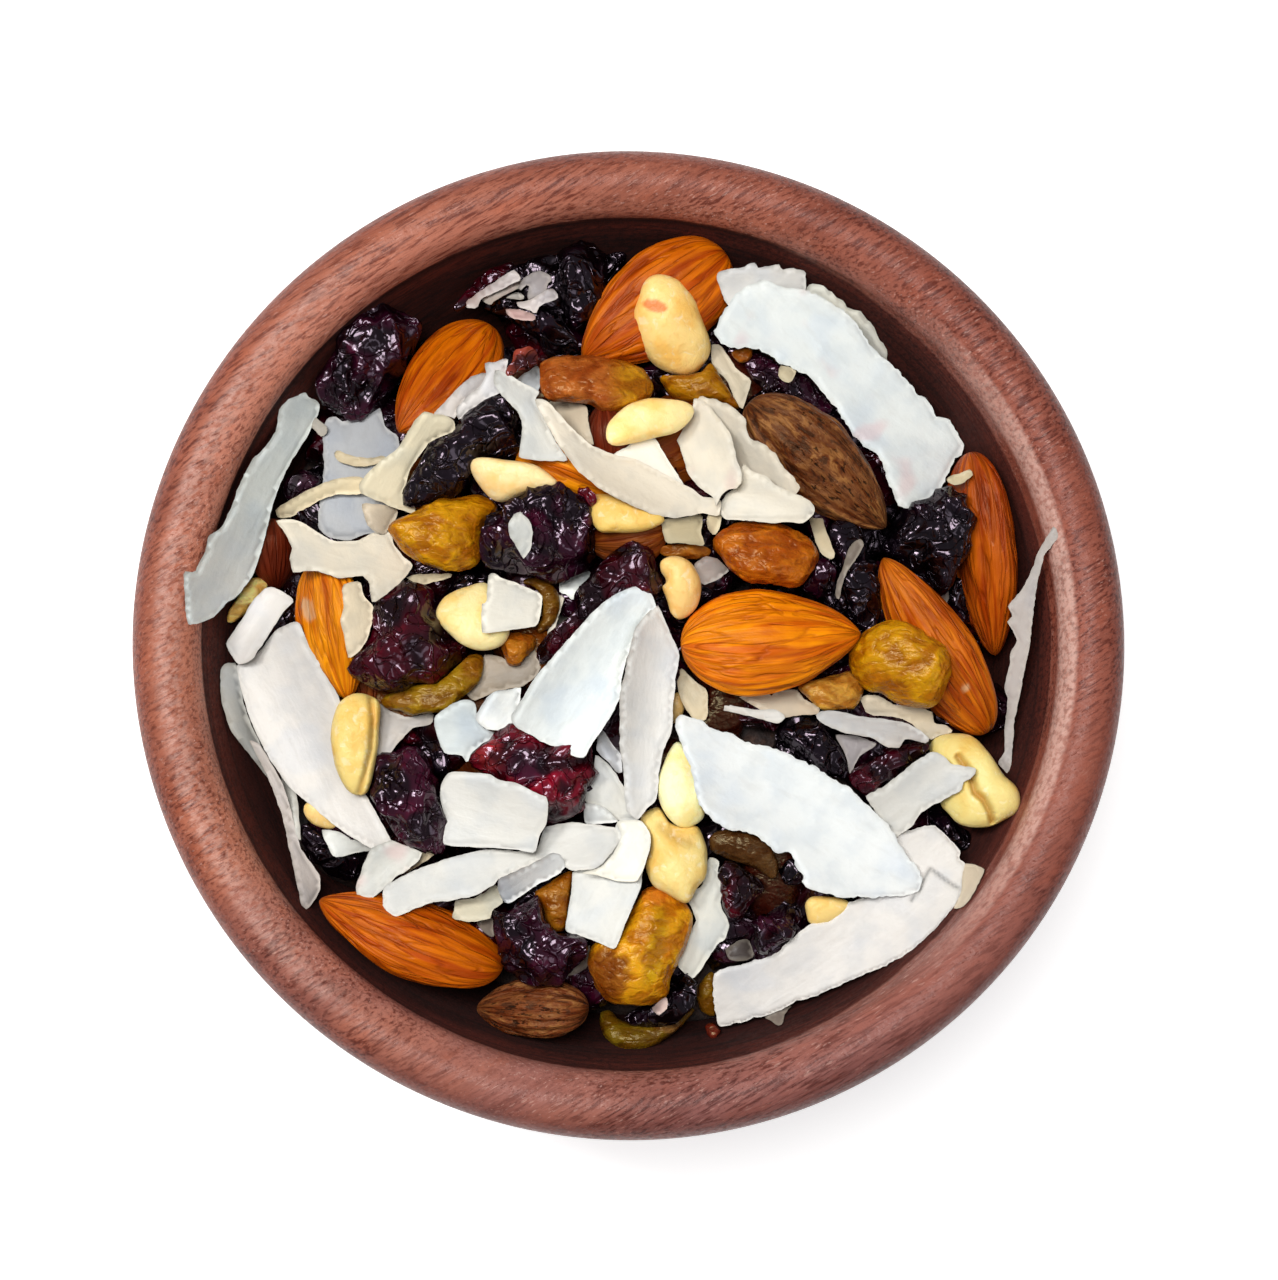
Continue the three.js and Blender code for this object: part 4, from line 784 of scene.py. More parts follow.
def almond(name, blunt, tip, wide, thick, roll, tone, seed, res=(90, 66)):
    """A whole almond: rounded at one end, pointed at the other, ridged along."""
    rng = np.random.default_rng(seed)
    ends = seen_at([blunt, tip], GUESS_Z)
    c = ends.mean(axis=0)
    ax = ends[1] - ends[0]
    length = np.hypot(*ax)
    ax = ax / length
    mm = 0.1289
    seen = wide * mm / 2
    b = thick / 2
    a = max(6.7 * min(1.0, length / 23), seen)
    if seen < a - 0.05:
        cs = (max(seen, b + 0.02) ** 2 - b**2) / max(a**2 - b**2, 0.1)
        tilt = math.acos(math.sqrt(min(1, max(0, cs))))
        tilt *= -1 if roll < 0 else 1
    else:
        tilt = math.radians(roll)
    n, m = res
    t = -np.cos(np.linspace(0, math.pi, n))
    t = np.sign(t) * np.abs(t) ** 1.0
    w = (1 + t) ** 0.5 * (1 - t) ** 0.74 / 1.02
    w = np.maximum(w, 0)
    hgt = (1 + t) ** 0.5 * (1 - t) ** 0.6 / 1.0
    hgt = hgt / hgt.max()
    bend = 0.35 * rng.normal()
    ph = np.linspace(0, 2 * math.pi, m, endpoint=False)
    T, PH = np.meshgrid(t, ph, indexing="ij")
    Wd, Hd = np.meshgrid(w, ph, indexing="ij")[0], np.meshgrid(hgt, ph, indexing="ij")[0]
    cb, sb = np.cos(PH), np.sin(PH)
    x = T * length / 2
    y = a * Wd * cb + bend * (1 - T**2)
    z = b * Hd * np.sign(sb) * np.abs(sb) ** 1.08
    p = np.column_stack([x.ravel(), y.ravel(), z.ravel()])
    nrm = np.column_stack([0.25 * T.ravel() ** 5, (cb / a).ravel() * 5, (sb / b).ravel() * 5])
    nrm /= np.linalg.norm(nrm, axis=1)[:, None]
    off = np.array([seed * 5.3, seed * 2.9, seed * 1.7]) % 89
    # skin coordinates: the ridges run from end to end and draw together there
    skin = np.column_stack([p[:, 0], 5.2 * cb.ravel(), 4.6 * sb.ravel()])
    st = np.array([0.045, 0.66, 0.66])
    warp = 0.20 * noise3(skin * [0.11, 0.3, 0.3] + off)
    groove = np.abs(noise3(skin * st + off + warp[:, None])) * 2
    groove = np.exp(-((groove / 0.24) ** 1.2))
    fine = np.abs(noise3(skin * st * [1.6, 2.1, 2.1] + off + 9)) * 2
    fine = np.exp(-((fine / 0.3) ** 1.2))
    dent = fbm(p / 7.5 + off, 2)
    depth = 0.50 if tone.startswith("dark") else 0.34
    fade = (1 - np.abs(T.ravel()) ** 6)
    rough = (0.30 if tone.startswith("dark") else 0.0) * fbm(skin * [0.30, 0.9, 0.9] + off, 3)
    d = (-depth * groove - 0.15 * fine + 0.42 * dent + rough) * fade
    p2 = p + nrm * d[:, None]
    rel = np.clip(0.7 * groove + 0.35 * fine, 0, 1)
    ct, sn = math.cos(tilt), math.sin(tilt)
    yy = p2[:, 1] * ct - p2[:, 2] * sn
    zz = p2[:, 1] * sn + p2[:, 2] * ct
    xy = np.column_stack([ax[0] * p2[:, 0] - ax[1] * yy, ax[1] * p2[:, 0] + ax[0] * yy])
    i, j = np.meshgrid(range(n - 1), range(m), indexing="ij")
    a0 = (i * m + j).ravel()
    a1 = (i * m + (j + 1) % m).ravel()
    tri = np.vstack([np.column_stack([a0, a0 + m, a1 + m]),
                     np.column_stack([a0, a1 + m, a1])])
    tint = np.tile(np.append(tint_of("almond", tone, rng, 0.04),
                             1.0 if tone.startswith("dark") else 0.4), (len(p), 1))
    marked(name, np.column_stack([xy + c, zz]), tint)
    return dict(kind="almond", name=name, xy=xy + c, z=zz, tri=tri,
                loc=skin + seed * 13.0 % 500, rel=rel, tint=tint, lay="rigid",
                centre=c, sink=0.5, slope=0.42)


def flake(name, outline, opts, tone, seed, step=0.62):
    """A thin shaving with the given outline. Its heights are set when it is laid."""
    rng = np.random.default_rng(seed)
    px = smooth_loop(outline, 0.46 / 0.1289, 0.28)
    rag = opts.get("rag", 0.1)
    s = np.arange(len(px)) * 0.46
    nx = np.roll(px, -1, axis=0) - np.roll(px, 1, axis=0)
    nx /= np.linalg.norm(nx, axis=1)[:, None] + 1e-9
    nx = np.column_stack([nx[:, 1], -nx[:, 0]])
    q3 = np.column_stack([px * 0.1289, np.zeros(len(px))])
    tooth = noise3(q3 * 0.9 + seed) + 0.8 * noise3(q3 * 2.0 + seed + 5)
    px = px + nx * (rag * tooth * 1.5 / 0.1289)[:, None]
    lo, hi = px.min(axis=0), px.max(axis=0)
    g = (0.34 if opts.get("fine") else step) / 0.1289
    gx = np.arange(lo[0], hi[0] + g, g)
    gy = np.arange(lo[1], hi[1] + g, g * 0.866)
    X, Y = np.meshgrid(gx, gy)
    X = X + (np.arange(len(gy)) % 2)[:, None] * g / 2
    pts = np.column_stack([X.ravel(), Y.ravel()])
    pts += rng.normal(size=pts.shape) * g * 0.05
    pts = pts[inside(pts, px)]
    if len(pts):
        pts = pts[edge_distance(pts, px) > g * 0.42]
    rim2 = None
    allp = np.vstack([px, pts]) if len(pts) else px
    n = len(px)
    res = delaunay_2d_cdt(
        [Vector(v) for v in allp], [(i, (i + 1) % n) for i in range(n)], [], 1, 1e-4
    )
    vv = np.array([tuple(v) for v in res[0]])
    tr = np.array([f for f in res[2] if len(f) == 3])
    e1, e2 = vv[tr[:, 1]] - vv[tr[:, 0]], vv[tr[:, 2]] - vv[tr[:, 0]]
    cr = e1[:, 0] * e2[:, 1] - e1[:, 1] * e2[:, 0]
    tr[cr > 0] = tr[cr > 0][:, ::-1]  # image y runs down, so this faces up
    dist = edge_distance(vv, px) * 0.1289
    q0 = px * 0.1289
    edges = {}
    for t in tr:
        for a, b in ((t[0], t[1]), (t[1], t[2]), (t[2], t[0])):
            edges[(a, b)] = 1
    border = [(a, b) for a, b in edges if (b, a) not in edges]
    k = len(vv)
    thick = opts.get("thick", 1.0 if np.ptp(q0, axis=0).max() < 12 else 1.35)
    w = np.minimum(dist / 0.55, 1)
    prof = np.sqrt(np.clip(1 - (1 - w) ** 2, 0, 1))
    half = 0.5 * thick * (0.22 + 0.78 * prof)
    q = vv * 0.1289
    q3 = np.column_stack([q, np.full(k, seed * 2.3 % 77)])
    ripple = 0.10 * noise3(q3 / 3.2) + 0.05 * noise3(q3 / 1.1)
    split = np.zeros(k)
    for line in CRACKS.get(name, []):
        near = edge_distance(vv, np.array(line + line[-2:0:-1], float))
        split = np.maximum(split, np.exp(-((near / 1.5) ** 2)))
    top = np.concatenate([half + ripple - 0.35 * split, -half + ripple])
    tri = np.vstack([tr, tr[:, ::-1] + k,
                     np.array([(a, a + k, b + k) for a, b in border])[:, ::-1],
                     np.array([(a, b + k, b) for a, b in border])[:, ::-1]])
    ang = rng.uniform(0, math.pi)
    ev, evec = np.linalg.eigh(np.cov((q - q.mean(axis=0)).T))
    u = evec[:, 1]
    loc2 = np.column_stack([q @ u, q @ [-u[1], u[0]]])
    loc = np.vstack([np.column_stack([loc2, half]), np.column_stack([loc2, -half])])
    base = tint_of("flake", tone, rng, 0.022)
    tint = np.tile(np.append(base, rng.uniform(0.2, 0.8)), (2 * k, 1))
    # painted shade: soft patches of each flake turn a cooler blue-grey
    blot = fbm(q3 / 6.0 + 3, 2)
    cool = smoothstep(0.05, 0.4, blot)[:, None] * 0.5
    mixd = tint[:k, :3] * (1 - cool) + tint[:k, :3] * lin((222, 228, 236)) / lin((238, 238, 236)) * cool
    if opts.get("pink") or rng.random() < 0.06:
        st = smoothstep(0.16, 0.42, noise3(q3 / 3.6 + 40))[:, None] * 0.34
        mixd = mixd * (1 - st) + lin(PINK) * st
    # painted shade: the upper side darkens along each crack, where it is also lowered
    tint[:, :3] = np.vstack([mixd * (1 - 0.6 * split[:, None]), mixd])
    rel = np.concatenate([1 - prof, 1 - prof])
    return dict(kind="flake", name=name, px=np.vstack([vv, vv]), z=top, tri=tri,
                loc=loc + seed * 13.0 % 500, rel=rel, tint=tint, lay="flake",
                opts=opts, seed=seed, dist=np.concatenate([dist, dist]), k=k,
                sink=0.25)


# ------------------------------------------------------------------ laying
CELL = 0.7
HALF_N = 92
AXIS = (np.arange(2 * HALF_N + 1) - HALF_N) * CELL
GX, GY = np.meshgrid(AXIS, AXIS, indexing="ij")
GR = np.hypot(GX, GY)


def edge_z(phi):
    return EDGE_Z + EDGE_TILT * np.cos(phi - EDGE_TILT_AT)


def hollow_r(z):
    return HOLLOW_A * np.sqrt(np.maximum(0, 1 - ((HOLLOW_MID_Z - z) / HOLLOW_DEPTH) ** 2))


def crown(x, y):
    r, phi = np.hypot(x, y), np.arctan2(y, x)
    e = edge_z(phi)
    share = np.minimum(1, r / hollow_r(e)) ** CROWN_POWER
    return CROWN_Z + (e - CROWN_Z) * share


def wall_z(r):
    """Height of the bowl's inside at radius r."""
    z = HOLLOW_MID_Z - HOLLOW_DEPTH * np.sqrt(np.maximum(0, 1 - (r / HOLLOW_A) ** 2))
    top_r, half = (BOWL_R + RIM_IN_R) / 2, (BOWL_R - RIM_IN_R) / 2
    s = np.clip((r - top_r) / half, -1, 1)
    roll = np.where(s < 0, RIM_IN_Z + RIM_INNER_DROP * np.sqrt(1 - s**2),
                    WIDE_Z + RIM_ROLL * np.sqrt(1 - s**2))
    return np.where(r < RIM_IN_R, z, np.where(r <= BOWL_R, roll, 0))


WALL = wall_z(GR)


def blur(a, sigma):
    n = int(3 * sigma / CELL) + 1
    k = np.exp(-0.5 * ((np.arange(-n, n + 1) * CELL) / sigma) ** 2)
    k /= k.sum()
    p = np.pad(a, n, mode="edge")
    p = np.apply_along_axis(lambda v: np.convolve(v, k, "valid"), 0, p)
    return np.apply_along_axis(lambda v: np.convolve(v, k, "valid"), 1, p)


def cells(xy):
    i = np.clip(np.rint(xy / CELL).astype(int) + HALF_N, 0, 2 * HALF_N)
    return i[:, 0], i[:, 1]


def fit_surface(x, y, h, quad, ridge, limit):
    """A smooth surface that lies on the high points of h."""
    cols = [np.ones_like(x), x, y]
    if quad:
        cols += [x * x, x * y, y * y]
    A = np.column_stack(cols)
    w = np.ones_like(x)
    reg = np.diag([0, ridge * 0.12, ridge * 0.12] + [ridge] * (3 if quad else 0)) * len(x)
    for _ in range(4):
        Aw = A * w[:, None]
        c = np.linalg.solve(A.T @ Aw + reg * w.mean() + 1e-6 * np.eye(A.shape[1]), Aw.T @ h)
        w = np.where(h > A @ c, 1.0, 0.18)
    g = np.hypot(c[1], c[2])
    if g > limit:
        c[1:3] *= limit / g
    return c, A


def lay(piece, H, put=True):
    """Rests a piece on the height map H, and adds it to H. Sets piece['at']."""
    if piece["lay"] == "rigid":
        xy, z = piece["xy"], piece["z"]
        c = piece["centre"]
        z0 = GUESS_Z
        low = z < np.percentile(z, 60)
        for _ in range(2):
            away = lean_of(c[None], GUESS_Z)[0] * (z0 - GUESS_Z)
            p = xy + away
            i, j = cells(p)
            h = H[i, j]
            d = p - (c + away)
            s = max(2.5, np.abs(d).max())
            co, _ = fit_surface(d[:, 0] / s, d[:, 1] / s, h, False, 0.4, piece["slope"] * s)
            tilt = (d[:, 0] * co[1] + d[:, 1] * co[2]) / s
            need = (h - z - tilt)[low]
            z0 = np.percentile(need, 96) - piece["sink"]
            roof = crown(c[0], c[1]) + piece.get("over", 4.5)
            z0 = min(z0, roof - z.max())
        full = np.column_stack([p, z + tilt + z0])
    else:
        px, k = piece["px"], piece["k"]
        opts = piece["opts"]
        zz = np.full(k, GUESS_Z)
        for _ in range(3):
            p = np.column_stack(_at(px[:k], zz))
            i, j = cells(p)
            h = H[i, j]
            c = p.mean(axis=0)
            d = p - c
            ev, evec = np.linalg.eigh(d.T @ d / len(d) + 1e-6 * np.eye(2))
            a, b = d @ evec[:, 1], d @ evec[:, 0]
            sa, sb = np.abs(a).max() + 0.3, np.abs(b).max() + 0.3
            u, v = a / sa, b / sb
            co, A = fit_surface(u, v, h, True, 0.03, 0.75 * sa)
            lim = 0.16 * np.array([sa, (sa + sb) / 2, sb])
            co[3:] = np.clip(co[3:], -lim, lim * 0.6)
            co[1:3] *= opts.get("even", 1.0)
            zz = A @ co
            zz = zz + opts.get("cup", 0.5) * (v * v - 0.33) - opts.get("arch", 0.4) * (u * u - 0.33)
            zz = zz + np.percentile(h - zz, 93) + 0.30
            roof = crown(p[:, 0], p[:, 1]) + (14 if opts.get("lie") else 5.0)
            over = np.percentile(zz - roof, 60)
            if over > 0:
                zz = zz - over
        both = np.concatenate([zz, zz]) + piece["z"]
        q = np.column_stack(_at(px, both))
        full = np.column_stack([q, both])
    piece["at"] = full
    if put:
        i, j = cells(full[:, :2])
        np.maximum.at(H, (i, j), full[:, 2])
        if piece["lay"] == "flake":  # fill cells between its vertices
            for di, dj in ((1, 0), (0, 1), (1, 1)):
                np.maximum.at(H, (np.minimum(i + di, 2 * HALF_N), np.minimum(j + dj, 2 * HALF_N)),
                              full[:, 2] - 0.25)
    return full


def _at(px, z):
    d = rays(px)
    t = (z - EYE[2]) / d[:, 2]
    return EYE[0] + d[:, 0] * t, EYE[1] + d[:, 1] * t


# ------------------------------------------------------------------ the heap
def build_all():
    named = []
    seed = 100
    for name, level, opts, outline in FLAKES:
        seed += "seed" not in opts
        own = opts.get("seed", seed)
        named.append((level, seed, flake(name, outline, opts, opts.get("tone", "white"), own)))
    for name, level, blunt, tip, wide, thick, roll, tone in ALMONDS:
        seed += 1
        fine = (96, 88) if "sliver" not in name and "deep" not in name else (60, 40)
        named.append((level, seed, almond(name, blunt, tip, wide, thick, roll, tone, seed, fine)))
    for kind, name, level, factor, tone, outline in LUMPS:
        seed += 1
        named.append((level, seed, lump(kind, name, outline, factor, tone, seed, 19 if kind == "cran" else 20)))
    for kind, name, level, factor, tone, line, widths in BENT:
        seed += 1
        named.append((level, seed, bent(kind, name, line, widths, factor, tone, seed)))
    order = {n: i for i, n in enumerate(ORDER)}
    named.sort(key=lambda t: (t[0], order.get(t[2]["name"], 500 + t[1])))
    return [p for _, _, p in named]


def px_of(x, y, z):
    """The frame's pixel that shows a point."""
    v = np.array([x, y, z]) - EYE
    d = -(v @ BACK)
    return (IMG_W / 2 + FOCAL_PX * (v @ RIGHT) / d, IMG_H / 2 - FOCAL_PX * (v @ UP) / d)


def blob_px(rng, x, y, a, b, turn, n=11):
    """An uneven oval outline, in frame pixels, for a piece lower in the heap."""
    out = []
    for k in range(n):
        t = 2 * math.pi * k / n
        f = 1 + 0.13 * rng.normal()
        u, v = a * f * math.cos(t), b * f * math.sin(t)
        out.append(px_of(x + u * math.cos(turn) - v * math.sin(turn),
                         y + u * math.sin(turn) + v * math.cos(turn), GUESS_Z))
    return out


def fillers():
    """Pieces of every kind under the ones that show, on a sunflower spiral."""
    rng = np.random.default_rng(7)
    out = []
    count = 104
    for k in range(count):
        r = 48.5 * math.sqrt((k + 0.5) / count)
        a = k * math.pi * (3 - math.sqrt(5)) + 0.4
        x, y = r * math.cos(a), r * math.sin(a)
        pick = rng.choice(["cran", "almond", "gold", "brown", "nut", "flake"],
                          p=[0.78, 0.07, 0.04, 0.09, 0.01, 0.01])
        turn = rng.uniform(0, math.pi)
        seed = 1000 + k
        if pick == "almond":
            dx, dy = 11.2 * math.cos(turn), 11.2 * math.sin(turn)
            s = min(1.0, (50.5 - 0) / (r + 11.2))
            x, y = x * s, y * s
            p = almond("under_%d" % k, px_of(x - dx, y - dy, GUESS_Z), px_of(x + dx, y + dy, GUESS_Z),
                       100, 7.8, rng.uniform(-20, 20), rng.choice(["brown", "brown3", "red"]), seed, (28, 22))
        elif pick == "flake":
            p = flake("under_%d" % k, blob_px(rng, x * 0.92, y * 0.92, rng.uniform(7, 10), rng.uniform(3.5, 5), turn),
                      {"rag": 0.1}, "shade", seed, 0.8)
        else:
            tone = {"cran": ["black", "plum", "wine"], "gold": ["olive", "gold", "goldbrown"],
                    "brown": ["brown", "redbrown"], "nut": ["half", "whole2"]}[pick]
            s = 0.94 if r > 40 else 1.0
            p = lump(pick, "under_%d" % k, blob_px(rng, x * s, y * s, rng.uniform(5.5, 7.5), rng.uniform(3.8, 5), turn),
                     0.8, rng.choice(tone), seed, 7)
            p["sink"] = 0.8
        p["over"] = -3.0
        # painted shade: the filler pieces under the heap are darkened, almonds, raisins and nuts most
        p["tint"][:, :3] *= 0.60 if pick in ("cran", "flake") else 0.34
        out.append(p)
    return out


PIECES = build_all()
UNDER = fillers()

target = crown(GX, GY)
IN_HEAP = GR < hollow_r(edge_z(np.arctan2(GY, GX))) - 0.3
core_top = target - 17.5
for turn in range(4):
    H = np.where(IN_HEAP, np.maximum(core_top, WALL), WALL)
    for p in UNDER + PIECES:
        lay(p, H)
    if turn == 3:
        break
    inner = GR < 49
    off = np.where(inner, H - (target + 1.6), 0.0)
    w = blur(inner.astype(float), 5.0)
    off = blur(off, 5.0) / np.maximum(w, 0.2)
    core_top = np.clip(core_top - 0.85 * off, 24.0, target - 8.0)
    print("heap pass", turn, "mean", round(float((H - target)[inner].mean()), 2),
          "max", round(float((H - target)[inner].max()), 2),
          "top", round(float(H[GR < 50].max()), 2))

MM = 0.001


def mesh_object(name, verts_mm, tris, attrs, mat, smooth=True):
    me = bpy.data.meshes.new(name)
    v = np.asarray(verts_mm, np.float32) * MM
    t = np.asarray(tris, np.int32)
    me.vertices.add(len(v))
    me.vertices.foreach_set("co", v.ravel())
    me.loops.add(t.size)
    me.loops.foreach_set("vertex_index", t.ravel())
    me.polygons.add(len(t))
    me.polygons.foreach_set("loop_start", np.arange(0, t.size, 3, dtype=np.int32))
    me.polygons.foreach_set("loop_total", np.full(len(t), 3, np.int32))
    me.polygons.foreach_set("use_smooth", np.full(len(t), smooth))
    me.update(calc_edges=True)
    me.validate()
    for key, (kind, data) in attrs.items():
        at = me.attributes.new(key, kind, "POINT")
        field = {"FLOAT": "value", "FLOAT_VECTOR": "vector", "FLOAT_COLOR": "color"}[kind]
        at.data.foreach_set(field, np.asarray(data, np.float32).ravel())
    ob = bpy.data.objects.new(name, me)
    bpy.context.scene.collection.objects.link(ob)
    me.materials.append(mat)
    return ob


def joined(name, group, mat):
    v, t, loc, rel, tint, n = [], [], [], [], [], 0
    for p in group:
        # painted shade: fruit and nuts deep in the heap are darkened with their depth below the crown
        if p["kind"] != "flake":
            deep = crown(p["at"][:, 0], p["at"][:, 1]) - p["at"][:, 2]
            p["tint"][:, :3] *= (1 - 0.55 * smoothstep(4.0, 12.0, deep))[:, None]
        at, tri = p["at"], p["tri"]
        a = at[tri[:, 0]]
        nz = np.cross(at[tri[:, 1]] - a, at[tri[:, 2]] - a)
        mid = at.mean(axis=0)
        if p["lay"] == "rigid" and (nz * (a - mid)).sum() < 0:
            tri = tri[:, ::-1]
        v.append(at)
        t.append(tri + n)
        loc.append(p["loc"])
        rel.append(p["rel"])
        tint.append(p["tint"])
        n += len(at)
    tris = np.vstack(t)
    ob = mesh_object(name, np.vstack(v), tris, {
        "loc": ("FLOAT_VECTOR", np.vstack(loc)),
        "rel": ("FLOAT", np.concatenate(rel)),
        "tint": ("FLOAT_COLOR", np.vstack(tint)),
    }, mat)
    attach(ob, "root")
    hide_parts("trail_mix")
    print(name, len(group), "pieces", len(tris), "triangles")
    return ob


# ------------------------------------------------------------------ materials
class Shade:
    """Small helper for node trees."""

    def __init__(self, name):
        self.mat = bpy.data.materials.new(name)
        self.mat.use_nodes = True
        self.tree = self.mat.node_tree
        self.tree.nodes.clear()
        self.out = self.tree.nodes.new("ShaderNodeOutputMaterial")
        self.bsdf = self.tree.nodes.new("ShaderNodeBsdfPrincipled")
        self.tree.links.new(self.bsdf.outputs[0], self.out.inputs["Surface"])

    def set(self, socket, value):
        s = self.bsdf.inputs[socket] if isinstance(socket, str) else socket
        if isinstance(value, bpy.types.NodeSocket):
            self.tree.links.new(value, s)
        else:
            s.default_value = value

    def node(self, kind, ins=(), **props):
        n = self.tree.nodes.new(kind)
        for k, v in props.items():
            setattr(n, k, v)
        for k, v in dict(ins).items():
            self.set(n.inputs[k], v)
        return n

    def attr(self, name, what="Vector"):
        n = self.node("ShaderNodeAttribute", attribute_name=name)
        return n.outputs[what]

    def math(self, op, a, b=0.0, clamp=False):
        n = self.node("ShaderNodeMath", {0: a, 1: b}, operation=op, use_clamp=clamp)
        return n.outputs[0]

    def noise(self, vec, scale, detail=3.0, rough=0.55, warp=0.0):
        n = self.node("ShaderNodeTexNoise", {"Vector": vec, "Scale": scale, "Detail": detail,
                                             "Roughness": rough, "Distortion": warp})
        return n.outputs["Fac"]

    def scaled(self, vec, s, rot=(0, 0, 0), loc=(0, 0, 0)):
        n = self.node("ShaderNodeMapping", {"Vector": vec, "Scale": s, "Rotation": rot, "Location": loc})
        return n.outputs[0]

    def ramp(self, fac, stops):
        n = self.node("ShaderNodeValToRGB", {"Fac": fac})
        e = n.color_ramp.elements
        while len(e) < len(stops):
            e.new(0.5)
        for el, (pos, col) in zip(e, stops):
            el.position = pos
            c = (col, col, col) if np.isscalar(col) else tuple(col)
            el.color = (*c[:3], 1)
        return n.outputs["Color"]

    def step(self, fac, a, b):
        n = self.node("ShaderNodeMapRange", {0: fac, 1: a, 2: b, 3: 0.0, 4: 1.0},
                      interpolation_type="SMOOTHSTEP")
        return n.outputs[0]

    def mix(self, fac, a, b, blend="MIX"):
        n = self.node("ShaderNodeMix", data_type="RGBA", blend_type=blend)
        self.set(n.inputs[0], fac)
        for s, v in ((n.inputs[6], a), (n.inputs[7], b)):
            self.set(s, v if isinstance(v, bpy.types.NodeSocket) else (*tuple(v)[:3], 1.0))
        return n.outputs[2]

    def bump(self, height, strength, distance_mm):
        n = self.node("ShaderNodeBump", {"Height": height, "Strength": strength,
                                         "Distance": distance_mm * MM})
        self.set("Normal", n.outputs[0])
        return n


def almond_skin():
    s = Shade("almond_skin")
    loc, tint, rel = s.attr("loc"), s.attr("tint", "Color"), s.attr("rel", "Fac")
    contrast = s.attr("tint", "Alpha")
    streak = s.noise(s.scaled(loc, (0.10, 0.85, 0.85)), 1.0, 3.0, 0.55, 0.45)
    hair = s.noise(s.scaled(loc, (0.22, 4.6, 4.6)), 1.0, 3.0, 0.6)
    patch = s.noise(loc, 0.15, 3.0, 0.5)
    # grooves from end to end, one to two millimetres apart
    mid = s.math("ABSOLUTE", s.math("SUBTRACT", s.noise(
        s.scaled(loc, (0.11, 0.66, 0.66), (0, 0, 0), (3, 8, 5)), 1.0, 2.0, 0.5, 0.6), 0.5))
    line = s.math("SUBTRACT", 1.0, s.step(mid, 0.0, 0.06))
    aged = s.step(contrast, 0.6, 0.9)
    line = s.math("MULTIPLY", line, s.math("SUBTRACT", 1.0, s.math("MULTIPLY", aged, 0.6)))
    c = s.mix(s.step(streak, 0.36, 0.60), s.mix(1.0, tint, lin((216, 174, 130)), "MULTIPLY"), tint)
    c = s.mix(s.math("MULTIPLY", s.step(patch, 0.46, 0.70), 0.45), c,
              s.mix(1.0, c, lin((206, 166, 128)), "MULTIPLY"))
    # pale powder on the skin between the grooves, partly a painted highlight on the ridges
    dust_and_sheen = s.math("MULTIPLY", s.step(hair, 0.52, 0.74), s.math("SUBTRACT", 1.0, line, True))
    c = s.mix(s.math("MULTIPLY", dust_and_sheen, 0.28), c, s.mix(1.0, c, (1.32, 1.34, 1.25), "MULTIPLY"))
    c = s.mix(s.math("MULTIPLY", s.step(hair, 0.46, 0.28), 0.30), c,
              s.mix(1.0, c, lin((196, 160, 130)), "MULTIPLY"))
    # a weathered kernel is blotched, with chains of dark pits
    mottle = s.noise(s.scaled(loc, (0.42, 0.95, 0.95)), 1.0, 4.0, 0.66, 0.5)
    pits = s.noise(s.scaled(loc, (0.85, 1.9, 1.9), (0, 0, 0), (5, 2, 8)), 1.0, 2.0, 0.6, 0.4)
    area = s.step(s.noise(s.scaled(loc, (0.16, 0.28, 0.28), (0, 0, 0), (1, 6, 4)), 1.0, 2.0, 0.5), 0.42, 0.60)
    pale = s.math("MULTIPLY", s.step(mottle, 0.48, 0.62), s.math("ADD", 0.35, s.math("MULTIPLY", area, 0.65)))
    c = s.mix(s.math("MULTIPLY", s.math("MULTIPLY", pale, aged), 0.72), c, lin((176, 122, 66)))
    tone_shift = s.math("MULTIPLY", s.step(mottle, 0.47, 0.38), aged)
    c = s.mix(s.math("MULTIPLY", tone_shift, 0.7), c, lin((44, 24, 16)))
    pit = s.math("MULTIPLY", s.math("MULTIPLY", s.step(pits, 0.42, 0.32), aged), s.step(area, 0.9, 0.3))
    c = s.mix(s.math("MULTIPLY", pit, 0.85), c, lin((24, 12, 9)))
    # painted shade: the grooves of the bump (line) and of the mesh (rel) are darkened
    c = s.mix(s.math("MULTIPLY", line, 0.36), c, s.mix(1.0, c, lin((158, 98, 60)), "MULTIPLY"))
    c = s.mix(s.math("MULTIPLY", rel, 0.55), c, s.mix(1.0, c, lin((146, 88, 52)), "MULTIPLY"))
    s.set("Base Color", c)
    s.set("Roughness", s.ramp(hair, [(0.35, 0.34), (0.7, 0.52)]))
    s.set("Specular IOR Level", 0.26)
    s.set("Specular Tint", (1.0, 0.84, 0.55, 1.0))
    h = s.math("ADD", s.math("MULTIPLY", streak, 0.45), s.math("MULTIPLY", hair, 0.26))
    h = s.math("SUBTRACT", h, s.math("MULTIPLY", line, 0.28))
    h = s.math("ADD", h, s.math("MULTIPLY", s.math("MULTIPLY", mottle, aged), 1.1))
    h = s.math("SUBTRACT", h, s.math("MULTIPLY", pit, 0.6))
    h = s.math("ADD", h, s.math("MULTIPLY", s.noise(loc, 3.2, 2.0), 0.08))
    s.bump(h, 0.9, 0.42)
    return s.mat


